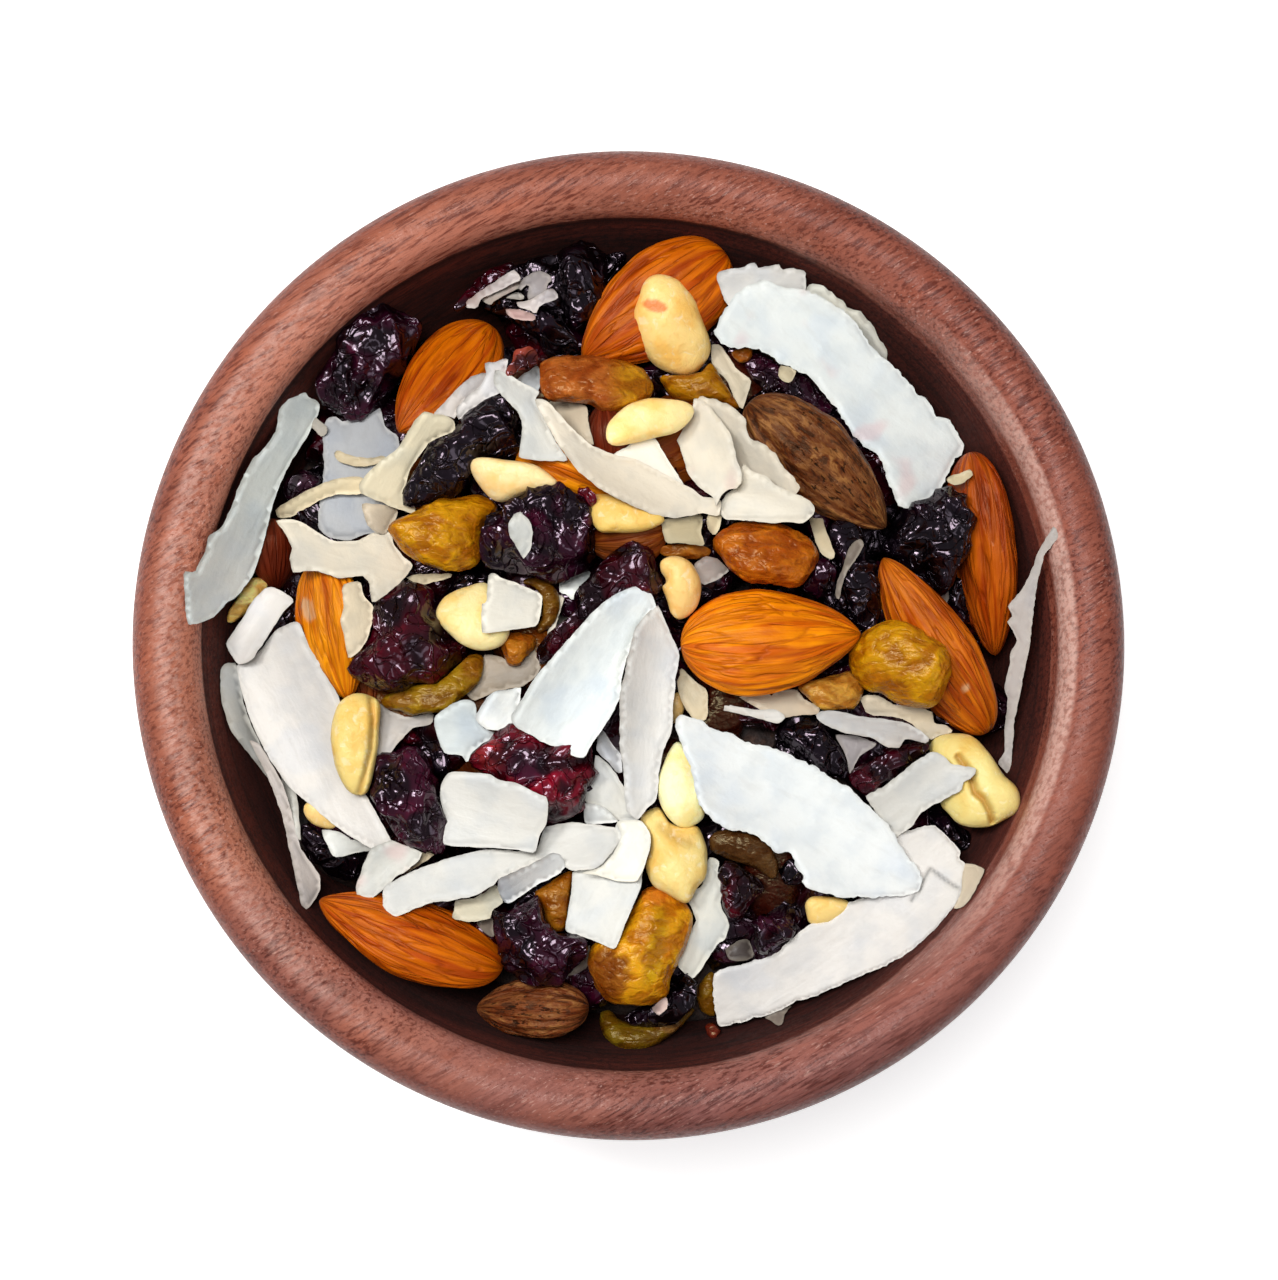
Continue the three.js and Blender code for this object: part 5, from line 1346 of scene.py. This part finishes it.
def berry_skin():
    s = Shade("dried_berry_skin")
    loc, tint, rel = s.attr("loc"), s.attr("tint", "Color"), s.attr("rel", "Fac")
    broad = s.noise(loc, 0.24, 3.0, 0.55)
    fold = s.noise(loc, 0.27, 0.0, 0.5, 0.6)
    small = s.noise(s.scaled(loc, (1, 1, 1), (0.9, 0.2, 0.5), (3, 9, 1)), 0.80, 0.0, 0.5, 0.7)
    crest = s.math("ABSOLUTE", s.math("SUBTRACT", s.noise(loc, 0.30, 0.0, 0.4, 0.8), 0.5))
    ridge = s.math("SUBTRACT", 1.0, s.step(crest, 0.0, 0.060))
    crease = s.math("ABSOLUTE", s.math("SUBTRACT", s.noise(
        s.scaled(loc, (1, 1, 1), (0.4, 0.8, 0.3), (11, 4, 7)), 0.44, 0.0, 0.4, 0.9), 0.5))
    dip = s.math("SUBTRACT", 1.0, s.step(crease, 0.0, 0.030))
    fine = s.noise(loc, 1.6, 2.0, 0.5)
    where = s.step(s.noise(s.scaled(loc, (1, 1, 1), (0.2, 0.5, 0.1), (7, 3, 9)), 0.24, 1.0, 0.5), 0.42, 0.58)
    # painted shade: the low parts of the folds are darkened
    c = s.mix(s.step(fold, 0.36, 0.64), s.mix(1.0, tint, lin((102, 88, 112)), "MULTIPLY"), tint)
    # painted glow: patches of the skin are painted brighter red, as if light came through thin flesh
    glow = s.math("MULTIPLY", s.step(broad, 0.54, 0.66), s.step(fold, 0.46, 0.60))
    c = s.mix(s.math("MULTIPLY", glow, 0.60), c, s.mix(1.0, tint, (2.7, 1.4, 1.8), "MULTIPLY"))
    # painted shade in the creases (dip) and in the mesh's hollow facets (rel)
    c = s.mix(s.math("MULTIPLY", dip, 0.5), c, s.mix(1.0, c, lin((120, 96, 110)), "MULTIPLY"))
    c = s.mix(s.math("MULTIPLY", s.step(rel, 0.15, 0.8), 0.6), c, s.mix(1.0, c, lin((120, 96, 110)), "MULTIPLY"))
    s.set("Base Color", c)
    s.set("Roughness", s.ramp(fine, [(0.3, 0.13), (0.75, 0.22)]))
    s.set("Specular IOR Level", 0.60)
    s.set("Specular Tint", (1.0, 0.80, 0.98, 1.0))
    h = s.math("ADD", s.math("MULTIPLY", ridge, 0.28), s.math("MULTIPLY", fold, 1.6))
    h = s.math("SUBTRACT", h, s.math("MULTIPLY", dip, 0.17))
    h = s.math("ADD", h, s.math("MULTIPLY", s.math("MULTIPLY", small, where), 0.30))
    h = s.math("ADD", h, s.math("MULTIPLY", fine, 0.008))
    s.bump(h, 1.0, 1.0)
    return s.mat


def raisin_skin(name):
    s = Shade(name)
    loc, tint, rel = s.attr("loc"), s.attr("tint", "Color"), s.attr("rel", "Fac")
    broad = s.noise(loc, 0.2, 3.0, 0.5)
    fold = s.noise(s.scaled(loc, (0.8, 1.2, 1.2)), 0.42, 1.0, 0.4, 0.6)
    small = s.noise(s.scaled(loc, (0.7, 1.2, 1.2), (0.9, 0.2, 0.5), (3, 9, 1)), 1.0, 1.5, 0.5, 0.9)
    fine = s.noise(loc, 2.6, 2.0, 0.5)
    # painted shade in the low parts of the folds
    c = s.mix(s.step(fold, 0.36, 0.62), s.mix(1.0, tint, lin((212, 182, 146)), "MULTIPLY"), tint)
    c = s.mix(s.math("MULTIPLY", s.step(broad, 0.50, 0.68), 0.45), c,
              s.mix(1.0, c, lin((206, 162, 126)), "MULTIPLY"))
    # painted highlight on the crests of the small wrinkles, painted shade in their hollows and in the mesh's hollow
    # facets (rel)
    c = s.mix(s.math("MULTIPLY", s.step(small, 0.50, 0.70), 0.45), c, s.mix(1.0, c, (1.42, 1.38, 1.3), "MULTIPLY"))
    c = s.mix(s.math("MULTIPLY", s.step(small, 0.46, 0.28), 0.50), c, s.mix(1.0, c, lin((184, 142, 100)), "MULTIPLY"))
    c = s.mix(s.math("MULTIPLY", rel, 0.35), c, s.mix(1.0, c, lin((190, 150, 110)), "MULTIPLY"))
    s.set("Base Color", c)
    s.set("Roughness", s.ramp(fine, [(0.3, 0.24), (0.75, 0.38)]))
    s.set("Specular IOR Level", 0.36)
    s.set("Specular Tint", (1.0, 0.86, 0.50, 1.0))
    s.set("Subsurface Weight", 0.22)
    s.set("Subsurface Radius", (1.0, 0.55, 0.15))
    s.set("Subsurface Scale", 0.0012)
    h = s.math("ADD", s.math("MULTIPLY", small, 0.40), s.math("MULTIPLY", fold, 0.70))
    h = s.math("ADD", h, s.math("MULTIPLY", fine, 0.07))
    s.bump(h, 0.9, 0.8)
    return s.mat


def nut_flesh():
    s = Shade("blanched_nut")
    loc, tint, rel = s.attr("loc"), s.attr("tint", "Color"), s.attr("rel", "Fac")
    broad = s.noise(loc, 0.26, 3.0, 0.5)
    mott = s.noise(loc, 0.8, 3.0, 0.55, 0.4)
    fine = s.noise(loc, 4.0, 2.0)
    c = s.mix(s.step(broad, 0.42, 0.68), tint, s.mix(1.0, tint, lin((250, 232, 196)), "MULTIPLY"))
    c = s.mix(s.math("MULTIPLY", s.step(mott, 0.56, 0.74), 0.30), c, s.mix(1.0, c, lin((244, 212, 160)), "MULTIPLY"))
    c = s.mix(s.math("MULTIPLY", s.step(mott, 0.44, 0.30), 0.35), c, lin((254, 244, 214)))
    s.set("Base Color", c)
    s.set("Roughness", s.ramp(mott, [(0.3, 0.36), (0.7, 0.50)]))
    s.set("Specular IOR Level", 0.38)
    s.set("Subsurface Weight", 0.15)
    s.set("Subsurface Radius", (1.0, 0.7, 0.35))
    s.set("Subsurface Scale", 0.0012)
    s.bump(s.math("ADD", s.math("MULTIPLY", mott, 1.0), s.math("MULTIPLY", fine, 0.15)), 0.5, 0.4)
    return s.mat


def coconut_flesh():
    s = Shade("coconut_flesh")
    loc, tint, rel = s.attr("loc"), s.attr("tint", "Color"), s.attr("rel", "Fac")
    fibre = s.noise(s.scaled(loc, (0.28, 0.9, 0.8)), 1.0, 3.0, 0.5, 0.3)
    soft = s.noise(loc, 0.24, 3.0, 0.5)
    fine = s.noise(loc, 2.6, 3.0, 0.55)
    # painted shade: soft patches turn a cooler blue-grey
    c = s.mix(s.math("MULTIPLY", s.step(soft, 0.40, 0.68), 0.5), tint,
              s.mix(1.0, tint, lin((228, 233, 240)), "MULTIPLY"))
    c = s.mix(s.math("MULTIPLY", s.step(fibre, 0.52, 0.74), 0.18), c,
              s.mix(1.0, c, lin((222, 218, 212)), "MULTIPLY"))
    c = s.mix(s.math("MULTIPLY", s.step(fine, 0.56, 0.78), 0.10), c,
              s.mix(1.0, c, lin((214, 210, 204)), "MULTIPLY"))
    c = s.mix(s.math("MULTIPLY", rel, 0.14), c, lin((232, 220, 196)))
    s.set("Base Color", c)
    s.set("Roughness", s.ramp(fine, [(0.3, 0.38), (0.7, 0.54)]))
    s.set("Specular IOR Level", 0.3)
    h = s.math("ADD", s.math("MULTIPLY", fibre, 0.45), s.math("MULTIPLY", fine, 0.16))
    h = s.math("ADD", h, s.math("MULTIPLY", soft, 1.0))
    s.bump(h, 0.5, 0.36)
    return s.mat


def core_crumbs():
    s = Shade("crumbs_painted_shade")
    loc = s.attr("loc")
    n = s.noise(loc, 0.5, 4.0, 0.6, 0.5)
    f = s.noise(loc, 2.4, 3.0, 0.6)
    # painted shade: the crumbs are coloured near black so the gaps between the pieces read dark
    c = s.ramp(n, [(0.30, lin((18, 9, 8))), (0.52, lin((42, 24, 18))), (0.74, lin((78, 48, 32)))])
    s.set("Base Color", s.mix(s.step(f, 0.5, 0.75), c, s.mix(1.0, c, (0.6, 0.55, 0.5), "MULTIPLY")))
    s.set("Roughness", s.ramp(f, [(0.3, 0.6), (0.7, 0.85)]))
    s.bump(s.math("ADD", n, s.math("MULTIPLY", f, 0.4)), 0.8, 0.6)
    return s.mat


def turned_wood():
    s = Shade("turned_wood")
    obj = s.node("ShaderNodeTexCoord").outputs["Object"]
    mm = s.scaled(obj, (1000, 1000, 1000))
    grain = math.radians(31)
    g = s.scaled(mm, (1, 1, 1), (0, math.radians(4), -grain))  # x runs along the grain
    sep = s.node("ShaderNodeSeparateXYZ", {0: mm})
    x, y, z = sep.outputs
    # painted light over a slow noise drift of tone: the wood is painted lighter and warmer at the left, where the light
    # comes from, darker at the right and at the back, darker and mauve in front
    drift = s.noise(s.scaled(g, (0.012, 0.04, 0.05)), 1.0, 3.0, 0.5)
    wave = s.math("MULTIPLY", s.math("SUBTRACT", drift, 0.5), 110.0)
    side = s.step(s.math("ADD", x, wave), -66.0, 46.0)
    c = s.mix(side, lin((172, 104, 80)), lin((144, 80, 64)))
    up = s.step(s.math("SUBTRACT", s.math("ADD", y, wave), s.math("MULTIPLY", x, 0.9)), 20.0, 95.0)
    c = s.mix(s.math("MULTIPLY", up, 0.7), c, lin((158, 94, 74)))
    front = s.step(s.math("SUBTRACT", wave, y), 10.0, 78.0)
    c = s.mix(s.math("MULTIPLY", front, 0.75), c, lin((122, 84, 86)))
    # growth layers
    ring = s.noise(s.scaled(g, (0.014, 0.22, 0.2)), 1.0, 4.0, 0.6, 0.5)
    c = s.mix(s.math("MULTIPLY", s.step(ring, 0.44, 0.66), 0.5), c,
              s.mix(1.0, c, lin((196, 172, 166)), "MULTIPLY"))
    # blotches of warmer wood
    blot = s.noise(s.scaled(g, (0.10, 0.30, 0.30)), 1.0, 3.0, 0.6)
    c = s.mix(s.math("MULTIPLY", s.step(blot, 0.50, 0.70), 0.42), c,
              s.mix(1.0, c, (1.12, 0.90, 0.72), "MULTIPLY"))
    # fine dark streaks and short open pores
    fine = s.noise(s.scaled(g, (0.26, 2.3, 2.1)), 1.0, 4.0, 0.62, 0.2)
    streaky = s.step(s.noise(s.scaled(g, (0.02, 0.05, 0.05), (0, 0, 0), (40, 2, 1)), 1.0, 2.0), 0.34, 0.60)
    fd = s.math("MULTIPLY", s.step(fine, 0.46, 0.64), s.math("ADD", 0.30, s.math("MULTIPLY", streaky, 0.6)))
    c = s.mix(fd, c, s.mix(1.0, c, lin((158, 122, 118)), "MULTIPLY"))
    c = s.mix(s.math("MULTIPLY", s.step(fine, 0.50, 0.36), 0.5), c, s.mix(1.0, c, (1.16, 1.14, 1.12), "MULTIPLY"))
    pore = s.noise(s.scaled(g, (1.5, 5.2, 4.8), (0, 0, 0), (31, 7, 3)), 1.0, 2.0, 0.5)
    dark = s.step(pore, 0.64, 0.72)
    c = s.mix(s.math("MULTIPLY", dark, 0.3), c, lin((78, 38, 34)))
    # pale rays, short flecks along the grain
    ray = s.noise(s.scaled(g, (0.7, 3.0, 3.0), (0, 0, 0), (5, 60, 9)), 1.0, 3.0, 0.6, 0.3)
    where = s.noise(s.scaled(g, (0.03, 0.07, 0.07), (0, 0, 0), (9, 2, 70)), 1.0, 2.0)
    pale = s.math("MULTIPLY", s.step(ray, 0.58, 0.70), s.step(where, 0.34, 0.56))
    c = s.mix(s.math("MULTIPLY", pale, 0.38), c, lin((216, 170, 154)))
    # the hollow's wall is painted darker below the rim, painted shade, with a painted shadow line under the rim
    rr = s.math("SQRT", s.math("ADD", s.math("MULTIPLY", x, x), s.math("MULTIPLY", y, y)))
    wob = s.math("MULTIPLY", s.math("SUBTRACT", s.noise(mm, 0.25, 3.0, 0.6), 0.5), 0.5)
    zw = s.math("ADD", z, s.math("MULTIPLY", wob, 2.0))
    # painted light: the rim's inner edge, where it rolls down into the hollow, is painted paler
    tone_shift = s.math("MULTIPLY", s.step(rr, 58.6, 56.2), s.step(z, 49.0, 49.4))
    c = s.mix(s.math("MULTIPLY", tone_shift, 0.7), c, s.mix(1.0, c, (1.30, 1.50, 1.62), "MULTIPLY"))
    # painted highlights: the lip on the right and the crest on the left are painted paler in patches, where the light
    # catches them
    patchy = s.step(s.noise(s.scaled(g, (0.9, 1.6, 1.6), (0, 0, 0), (2, 30, 14)), 1.0, 3.0, 0.6), 0.36, 0.60)
    band = s.math("MULTIPLY", s.step(rr, 57.5, 56.8), s.step(rr, 54.6, 55.8))
    lip = s.math("MULTIPLY", s.step(x, 32.0, 58.0), s.math("MULTIPLY", band, s.step(z, 49.2, 50.4)))
    c = s.mix(s.math("MULTIPLY", s.math("MULTIPLY", lip, s.math("ADD", 0.4, s.math("MULTIPLY", patchy, 0.6))), 0.72), c, lin((232, 190, 176)))
    # painted light: the rim's inner slope at the back left is painted paler
    diag = s.step(s.math("SUBTRACT", y, x), 58.0, 78.0)
    back = s.math("MULTIPLY", diag, s.math("MULTIPLY", s.step(rr, 59.6, 57.2), s.step(z, 49.0, 49.6)))
    c = s.mix(s.math("MULTIPLY", back, 0.8), c, s.mix(1.0, c, (1.55, 1.66, 1.72), "MULTIPLY"))
    # painted highlight on the crest at the left
    crest = s.math("MULTIPLY", s.step(rr, 56.6, 58.4), s.step(rr, 61.4, 59.8))
    crest = s.math("MULTIPLY", crest, s.math("MULTIPLY", s.step(x, -22.0, -54.0), s.step(z, 50.0, 52.0)))
    c = s.mix(s.math("MULTIPLY", s.math("MULTIPLY", crest, patchy), 0.34), c, lin((216, 172, 156)))
    hollow = s.attr("hollow", "Fac")
    right = s.step(x, 8.0, 44.0)  # on this side the wall is painted dark only further down, and painted paler where the light from the left falls on it
    inner = s.math("MULTIPLY", hollow, s.step(s.math("ADD", zw, s.math("MULTIPLY", right, 1.5)), 49.5, 48.7))
    # painted shade: the inside wall is darkened below the rim
    c = s.mix(s.math("MULTIPLY", inner, 0.96), c, s.mix(1.0, c, lin((130, 80, 68)), "MULTIPLY"))
    # painted light: on the right the wall is painted paler and greyer, a painted sheen
    c = s.mix(s.math("MULTIPLY", s.math("MULTIPLY", inner, right), 0.5), c, s.mix(1.0, c, (1.9, 2.9, 3.2), "MULTIPLY"))
    # turning marks round the wall, and painted shade low on the wall where the heap meets it
    turned = s.node("ShaderNodeCombineXYZ", {0: rr, 1: z, 2: s.math("MULTIPLY", x, 0.06)}).outputs[0]
    turned = s.noise(s.scaled(turned, (1.7, 1.7, 1.0)), 1.0, 3.0, 0.6)
    marks = s.math("MULTIPLY", inner, s.step(turned, 0.47, 0.60))
    c = s.mix(s.math("MULTIPLY", marks, 0.6), c, s.mix(1.0, c, lin((148, 126, 122)), "MULTIPLY"))
    deep = s.math("MULTIPLY", hollow, s.step(zw, 47.4, 43.6))
    c = s.mix(s.math("MULTIPLY", deep, 0.8), c, s.mix(1.0, c, lin((146, 124, 122)), "MULTIPLY"))
    # painted shadow: a near-black line low under the rim, strongest at the back, left out on the right
    under_lip_shadow = s.math("MULTIPLY", s.step(zw, 49.6, 49.2), s.step(zw, 47.2, 48.6))
    under_lip_shadow = s.math("MULTIPLY", under_lip_shadow, s.math("MULTIPLY", hollow, s.math("ADD", 0.10, s.math("MULTIPLY", s.step(y, -24.0, 30.0), 0.55))))
    under_lip_shadow = s.math("MULTIPLY", under_lip_shadow, s.math("SUBTRACT", 1.0, right))
    c = s.mix(under_lip_shadow, c, lin((26, 4, 3)))
    # painted shade: the outer edge of the rim is painted darker where it turns away from the light; the belly has a
    # less red tone
    outer = s.step(rr, 60.6, 63.2)
    belly = s.step(z, 50.6, 48.4)
    c = s.mix(s.math("MULTIPLY", outer, 0.68), c, s.mix(1.0, c, lin((190, 146, 134)), "MULTIPLY"))
    belly = s.math("MULTIPLY", s.math("SUBTRACT", belly, hollow, True), 0.75)
    c = s.mix(belly, c, s.mix(1.0, c, (0.68, 0.88, 1.0), "MULTIPLY"))
    s.set("Base Color", c)
    grit = s.noise(mm, 1.6, 3.0, 0.65)
    rough = s.math("ADD", 0.36, s.math("MULTIPLY", s.step(grit, 0.35, 0.7), 0.2))
    rough = s.math("ADD", rough, s.math("MULTIPLY", dark, 0.2))
    rough = s.math("ADD", rough, s.math("MULTIPLY", inner, 0.45), True)
    s.set("Roughness", rough)
    s.set("Specular IOR Level", 0.30)
    s.set("Specular Tint", (1.0, 0.90, 0.88, 1.0))
    h = s.math("SUBTRACT", s.math("MULTIPLY", fine, 0.6), s.math("MULTIPLY", dark, 0.6))
    h = s.math("ADD", h, s.math("MULTIPLY", grit, 0.75))
    s.bump(h, 0.6, 0.17)
    return s.mat


MATS = {
    "almond": almond_skin(), "cran": berry_skin(), "gold": raisin_skin("golden_raisin_skin"),
    "brown": raisin_skin("brown_raisin_skin"), "nut": nut_flesh(), "flake": coconut_flesh(),
}
SHOWN = {
    "almond": ("almonds", "almond"), "cran": ("dried_cranberries", "dried_fruit"),
    "gold": ("golden_raisins", "dried_fruit"), "brown": ("brown_raisins", "dried_fruit"),
    "nut": ("peanuts", "peanut"), "flake": ("coconut_chips", "coconut"),
}
for kind, (label, slot) in SHOWN.items():
    group = [p for p in UNDER + PIECES if p["kind"] == kind]
    joined(label, group, MATS[kind])

# ------------------------------------------------------------------ the core
# Crumbs and smaller bits packed under the pieces, from the hollow's floor up.
def sample(grid, x, y):
    u, v = x / CELL + HALF_N, y / CELL + HALF_N
    i, j = np.floor(u).astype(int), np.floor(v).astype(int)
    f, g = u - i, v - j
    return (grid[i, j] * (1 - f) * (1 - g) + grid[i + 1, j] * f * (1 - g)
            + grid[i, j + 1] * (1 - f) * g + grid[i + 1, j + 1] * f * g)


def core_mesh():
    nphi, nr = 150, 70
    phi = np.linspace(0, 2 * math.pi, nphi, endpoint=False)
    soft = blur(core_top, 1.6)
    ring_v = []
    # outer radius: where the core's top meets the wall
    rr = np.full(nphi, 50.0)
    for _ in range(12):
        zz = sample(soft, rr * np.cos(phi), rr * np.sin(phi))
        rr = hollow_r(zz) - 0.35
    pts = [np.array([[0, 0, float(sample(soft, np.zeros(1), np.zeros(1))[0])]])]
    for k in range(1, nr + 1):
        x, y = rr * k / nr * np.cos(phi), rr * k / nr * np.sin(phi)
        z = sample(soft, x, y)
        p = np.column_stack([x, y, z])
        if k < nr:
            z = z + 1.3 * fbm(p * [0.25, 0.25, 0] + 5.0, 3)
        pts.append(np.column_stack([x, y, z]))
    edge = pts[-1][:, 2]
    for k in range(1, 13):
        a0 = np.arccos((HOLLOW_MID_Z - edge) / HOLLOW_DEPTH)
        a = a0 * (1 - k / 13)
        r = (HOLLOW_A - 0.45) * np.sin(a)
        z = HOLLOW_MID_Z - (HOLLOW_DEPTH - 0.45) * np.cos(a)
        pts.append(np.column_stack([r * np.cos(phi), r * np.sin(phi), z]))
    pts.append(np.array([[0, 0, HOLLOW_FLOOR_Z + 0.45]]))
    v = np.vstack(pts)
    rings = nr + 12
    tri = []
    i = np.arange(nphi)
    j = (i + 1) % nphi
    tri.append(np.column_stack([np.zeros(nphi, int), 1 + i, 1 + j]))
    for k in range(rings - 1):
        a, b = 1 + k * nphi, 1 + (k + 1) * nphi
        tri += [np.column_stack([a + i, b + i, b + j]), np.column_stack([a + i, b + j, a + j])]
    a = 1 + (rings - 1) * nphi
    tri.append(np.column_stack([a + i, np.full(nphi, len(v) - 1), a + j]))
    return v, np.vstack(tri)


cv, ct = core_mesh()
core = mesh_object("packed_core", cv, ct, {"loc": ("FLOAT_VECTOR", cv)}, core_crumbs())
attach(core, "root")
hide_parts("trail_mix")


# ------------------------------------------------------------------ the bowl
def belly_z(r):
    return WIDE_Z - BELLY_DEPTH * math.sqrt(max(0, 1 - (r / BOWL_R) ** 2))


def bowl_profile():
    p = [(0.0, 0.0)]
    p += [((FOOT_R - FOOT_EDGE) * k / 10, 0.0) for k in range(1, 11)]
    p += [(FOOT_R - FOOT_EDGE + FOOT_EDGE * math.sin(a), FOOT_EDGE - FOOT_EDGE * math.cos(a))
          for a in [math.pi / 2 * k / 5 for k in range(1, 6)]]
    r0 = FOOT_R + FOOT_COVE
    z0 = belly_z(r0)
    a, b, c = (FOOT_R, FOOT_STEP), (FOOT_R + 0.25, z0 * 0.96), (r0, z0)
    p.append((FOOT_R, (FOOT_EDGE + FOOT_STEP) / 2))
    for k in range(0, 8):
        t = k / 8
        p.append(((1 - t) ** 2 * a[0] + 2 * t * (1 - t) * b[0] + t * t * c[0],
                  (1 - t) ** 2 * a[1] + 2 * t * (1 - t) * b[1] + t * t * c[1]))
    a0 = math.asin(r0 / BOWL_R)
    for k in range(0, 37):
        t = a0 + (math.pi / 2 - a0) * k / 36
        p.append((BOWL_R * math.sin(t), WIDE_Z - BELLY_DEPTH * math.cos(t)))
    top_r, half = (BOWL_R + RIM_IN_R) / 2, (BOWL_R - RIM_IN_R) / 2
    for k in range(1, 13):
        t = math.pi / 2 * k / 12
        p.append((top_r + half * math.cos(t), WIDE_Z + RIM_ROLL * math.sin(t)))
    for k in range(1, 13):
        t = math.pi / 2 * k / 12
        p.append((top_r - half * math.sin(t), RIM_IN_Z + RIM_INNER_DROP * math.cos(t)))
    a_in = math.acos((HOLLOW_MID_Z - RIM_IN_Z) / HOLLOW_DEPTH)
    for k in range(1, 40):
        t = a_in * (1 - k / 40)
        p.append((HOLLOW_A * math.sin(t), HOLLOW_MID_Z - HOLLOW_DEPTH * math.cos(t)))
    p.append((0.0, HOLLOW_FLOOR_Z))
    return np.array(p)


def bowl_mesh():
    prof = bowl_profile()
    n = 300
    phi = np.linspace(0, 2 * math.pi, n, endpoint=False)
    rings = prof[1:-1]
    v = [np.array([[0, 0, prof[0, 1]]])]
    crest = int(np.argmax(prof[:, 1]))  # from here on the profile runs down the hollow
    hollow = np.concatenate([[0.0], np.repeat((np.arange(1, len(prof) - 1) >= crest) * 1.0, n), [1.0]])
    for r, z in rings:
        c = np.column_stack([np.cos(phi), np.sin(phi)])
        q = np.column_stack([c * 1.4, np.full(n, z / 40)])
        soft = 0.10 * noise3(q) if z > 6 else np.zeros(n)
        lift = -0.12 * np.abs(noise3(q + 9)) if z > WIDE_Z else np.zeros(n)
        rr = r - np.abs(soft)
        v.append(np.column_stack([c * rr[:, None], z + lift]))
    v.append(np.array([[0, 0, prof[-1, 1]]]))
    v = np.vstack(v)
    i = np.arange(n)
    j = (i + 1) % n
    tri = [np.column_stack([np.zeros(n, int), 1 + j, 1 + i])]
    for k in range(len(rings) - 1):
        a, b = 1 + k * n, 1 + (k + 1) * n
        tri += [np.column_stack([a + i, a + j, b + j]), np.column_stack([a + i, b + j, b + i])]
    a = 1 + (len(rings) - 1) * n
    tri.append(np.column_stack([a + i, a + j, np.full(n, len(v) - 1)]))
    return v, np.vstack(tri), hollow


bv, bt, inside_of = bowl_mesh()
bowl = mesh_object("turned_bowl", bv, bt, {"hollow": ("FLOAT", inside_of)}, turned_wood())
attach(bowl, "root")
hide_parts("bowl")
print("bowl", len(bt), "core", len(ct), "triangles")

# ------------------------------------------------------------------ stage
me = bpy.data.meshes.new("floor")
S = 4.0
me.from_pydata([(-S, -S, 0), (S, -S, 0), (S, S, 0), (-S, S, 0)], [], [(0, 1, 2, 3)])
floor = bpy.data.objects.new("floor", me)
bpy.context.scene.collection.objects.link(floor)
fm = bpy.data.materials.new("pale_floor")
fm.use_nodes = True
fb = fm.node_tree.nodes["Principled BSDF"]
fb.inputs["Base Color"].default_value = (0.93, 0.93, 0.93, 1)
fb.inputs["Roughness"].default_value = 0.9
fb.inputs["Specular IOR Level"].default_value = 0.1
fb.inputs["Emission Color"].default_value = (1, 1, 1, 1)
fb.inputs["Emission Strength"].default_value = 0.54
me.materials.append(fm)

world = bpy.data.worlds.new("soft_room")
bpy.context.scene.world = world
world.use_nodes = True
bg = world.node_tree.nodes["Background"]
bg.inputs["Color"].default_value = (0.96, 0.98, 1.0, 1)
bg.inputs["Strength"].default_value = 0.20


def area(name, loc, target, size, watts, colour=(1, 1, 1)):
    d = bpy.data.lights.new(name, "AREA")
    d.shape = "DISK"
    d.size = size
    d.energy = watts
    d.color = colour
    o = bpy.data.objects.new(name, d)
    o.location = loc
    o.rotation_euler = (Vector(target) - Vector(loc)).to_track_quat("-Z", "Y").to_euler()
    bpy.context.scene.collection.objects.link(o)
    return o


area("over", (-0.12, 0.10, 0.80), (0, 0, 0.05), 0.32, 3.8, (1.0, 0.99, 0.975))
area("key", (-0.32, 0.15, 0.58), (0, 0, 0.05), 0.14, 1.7, (1.0, 0.99, 0.98))
area("fill", (0.42, -0.30, 0.62), (0, 0, 0.05), 0.40, 0.7, (0.94, 0.97, 1.0))

cam = bpy.data.cameras.new("camera")
cam.sensor_fit = "HORIZONTAL"
cam.sensor_width = 36.0
cam.lens = FOCAL_PX / IMG_W * 36.0
cam.clip_start, cam.clip_end = 0.01, 20.0
camera = bpy.data.objects.new("camera", cam)
bpy.context.scene.collection.objects.link(camera)
R = Matrix((tuple(RIGHT), tuple(UP), tuple(BACK))).transposed()
camera.matrix_world = Matrix.Translation(Vector(EYE * MM)) @ R.to_4x4()
bpy.context.scene.camera = camera
bpy.context.scene.view_settings.view_transform = "Standard"
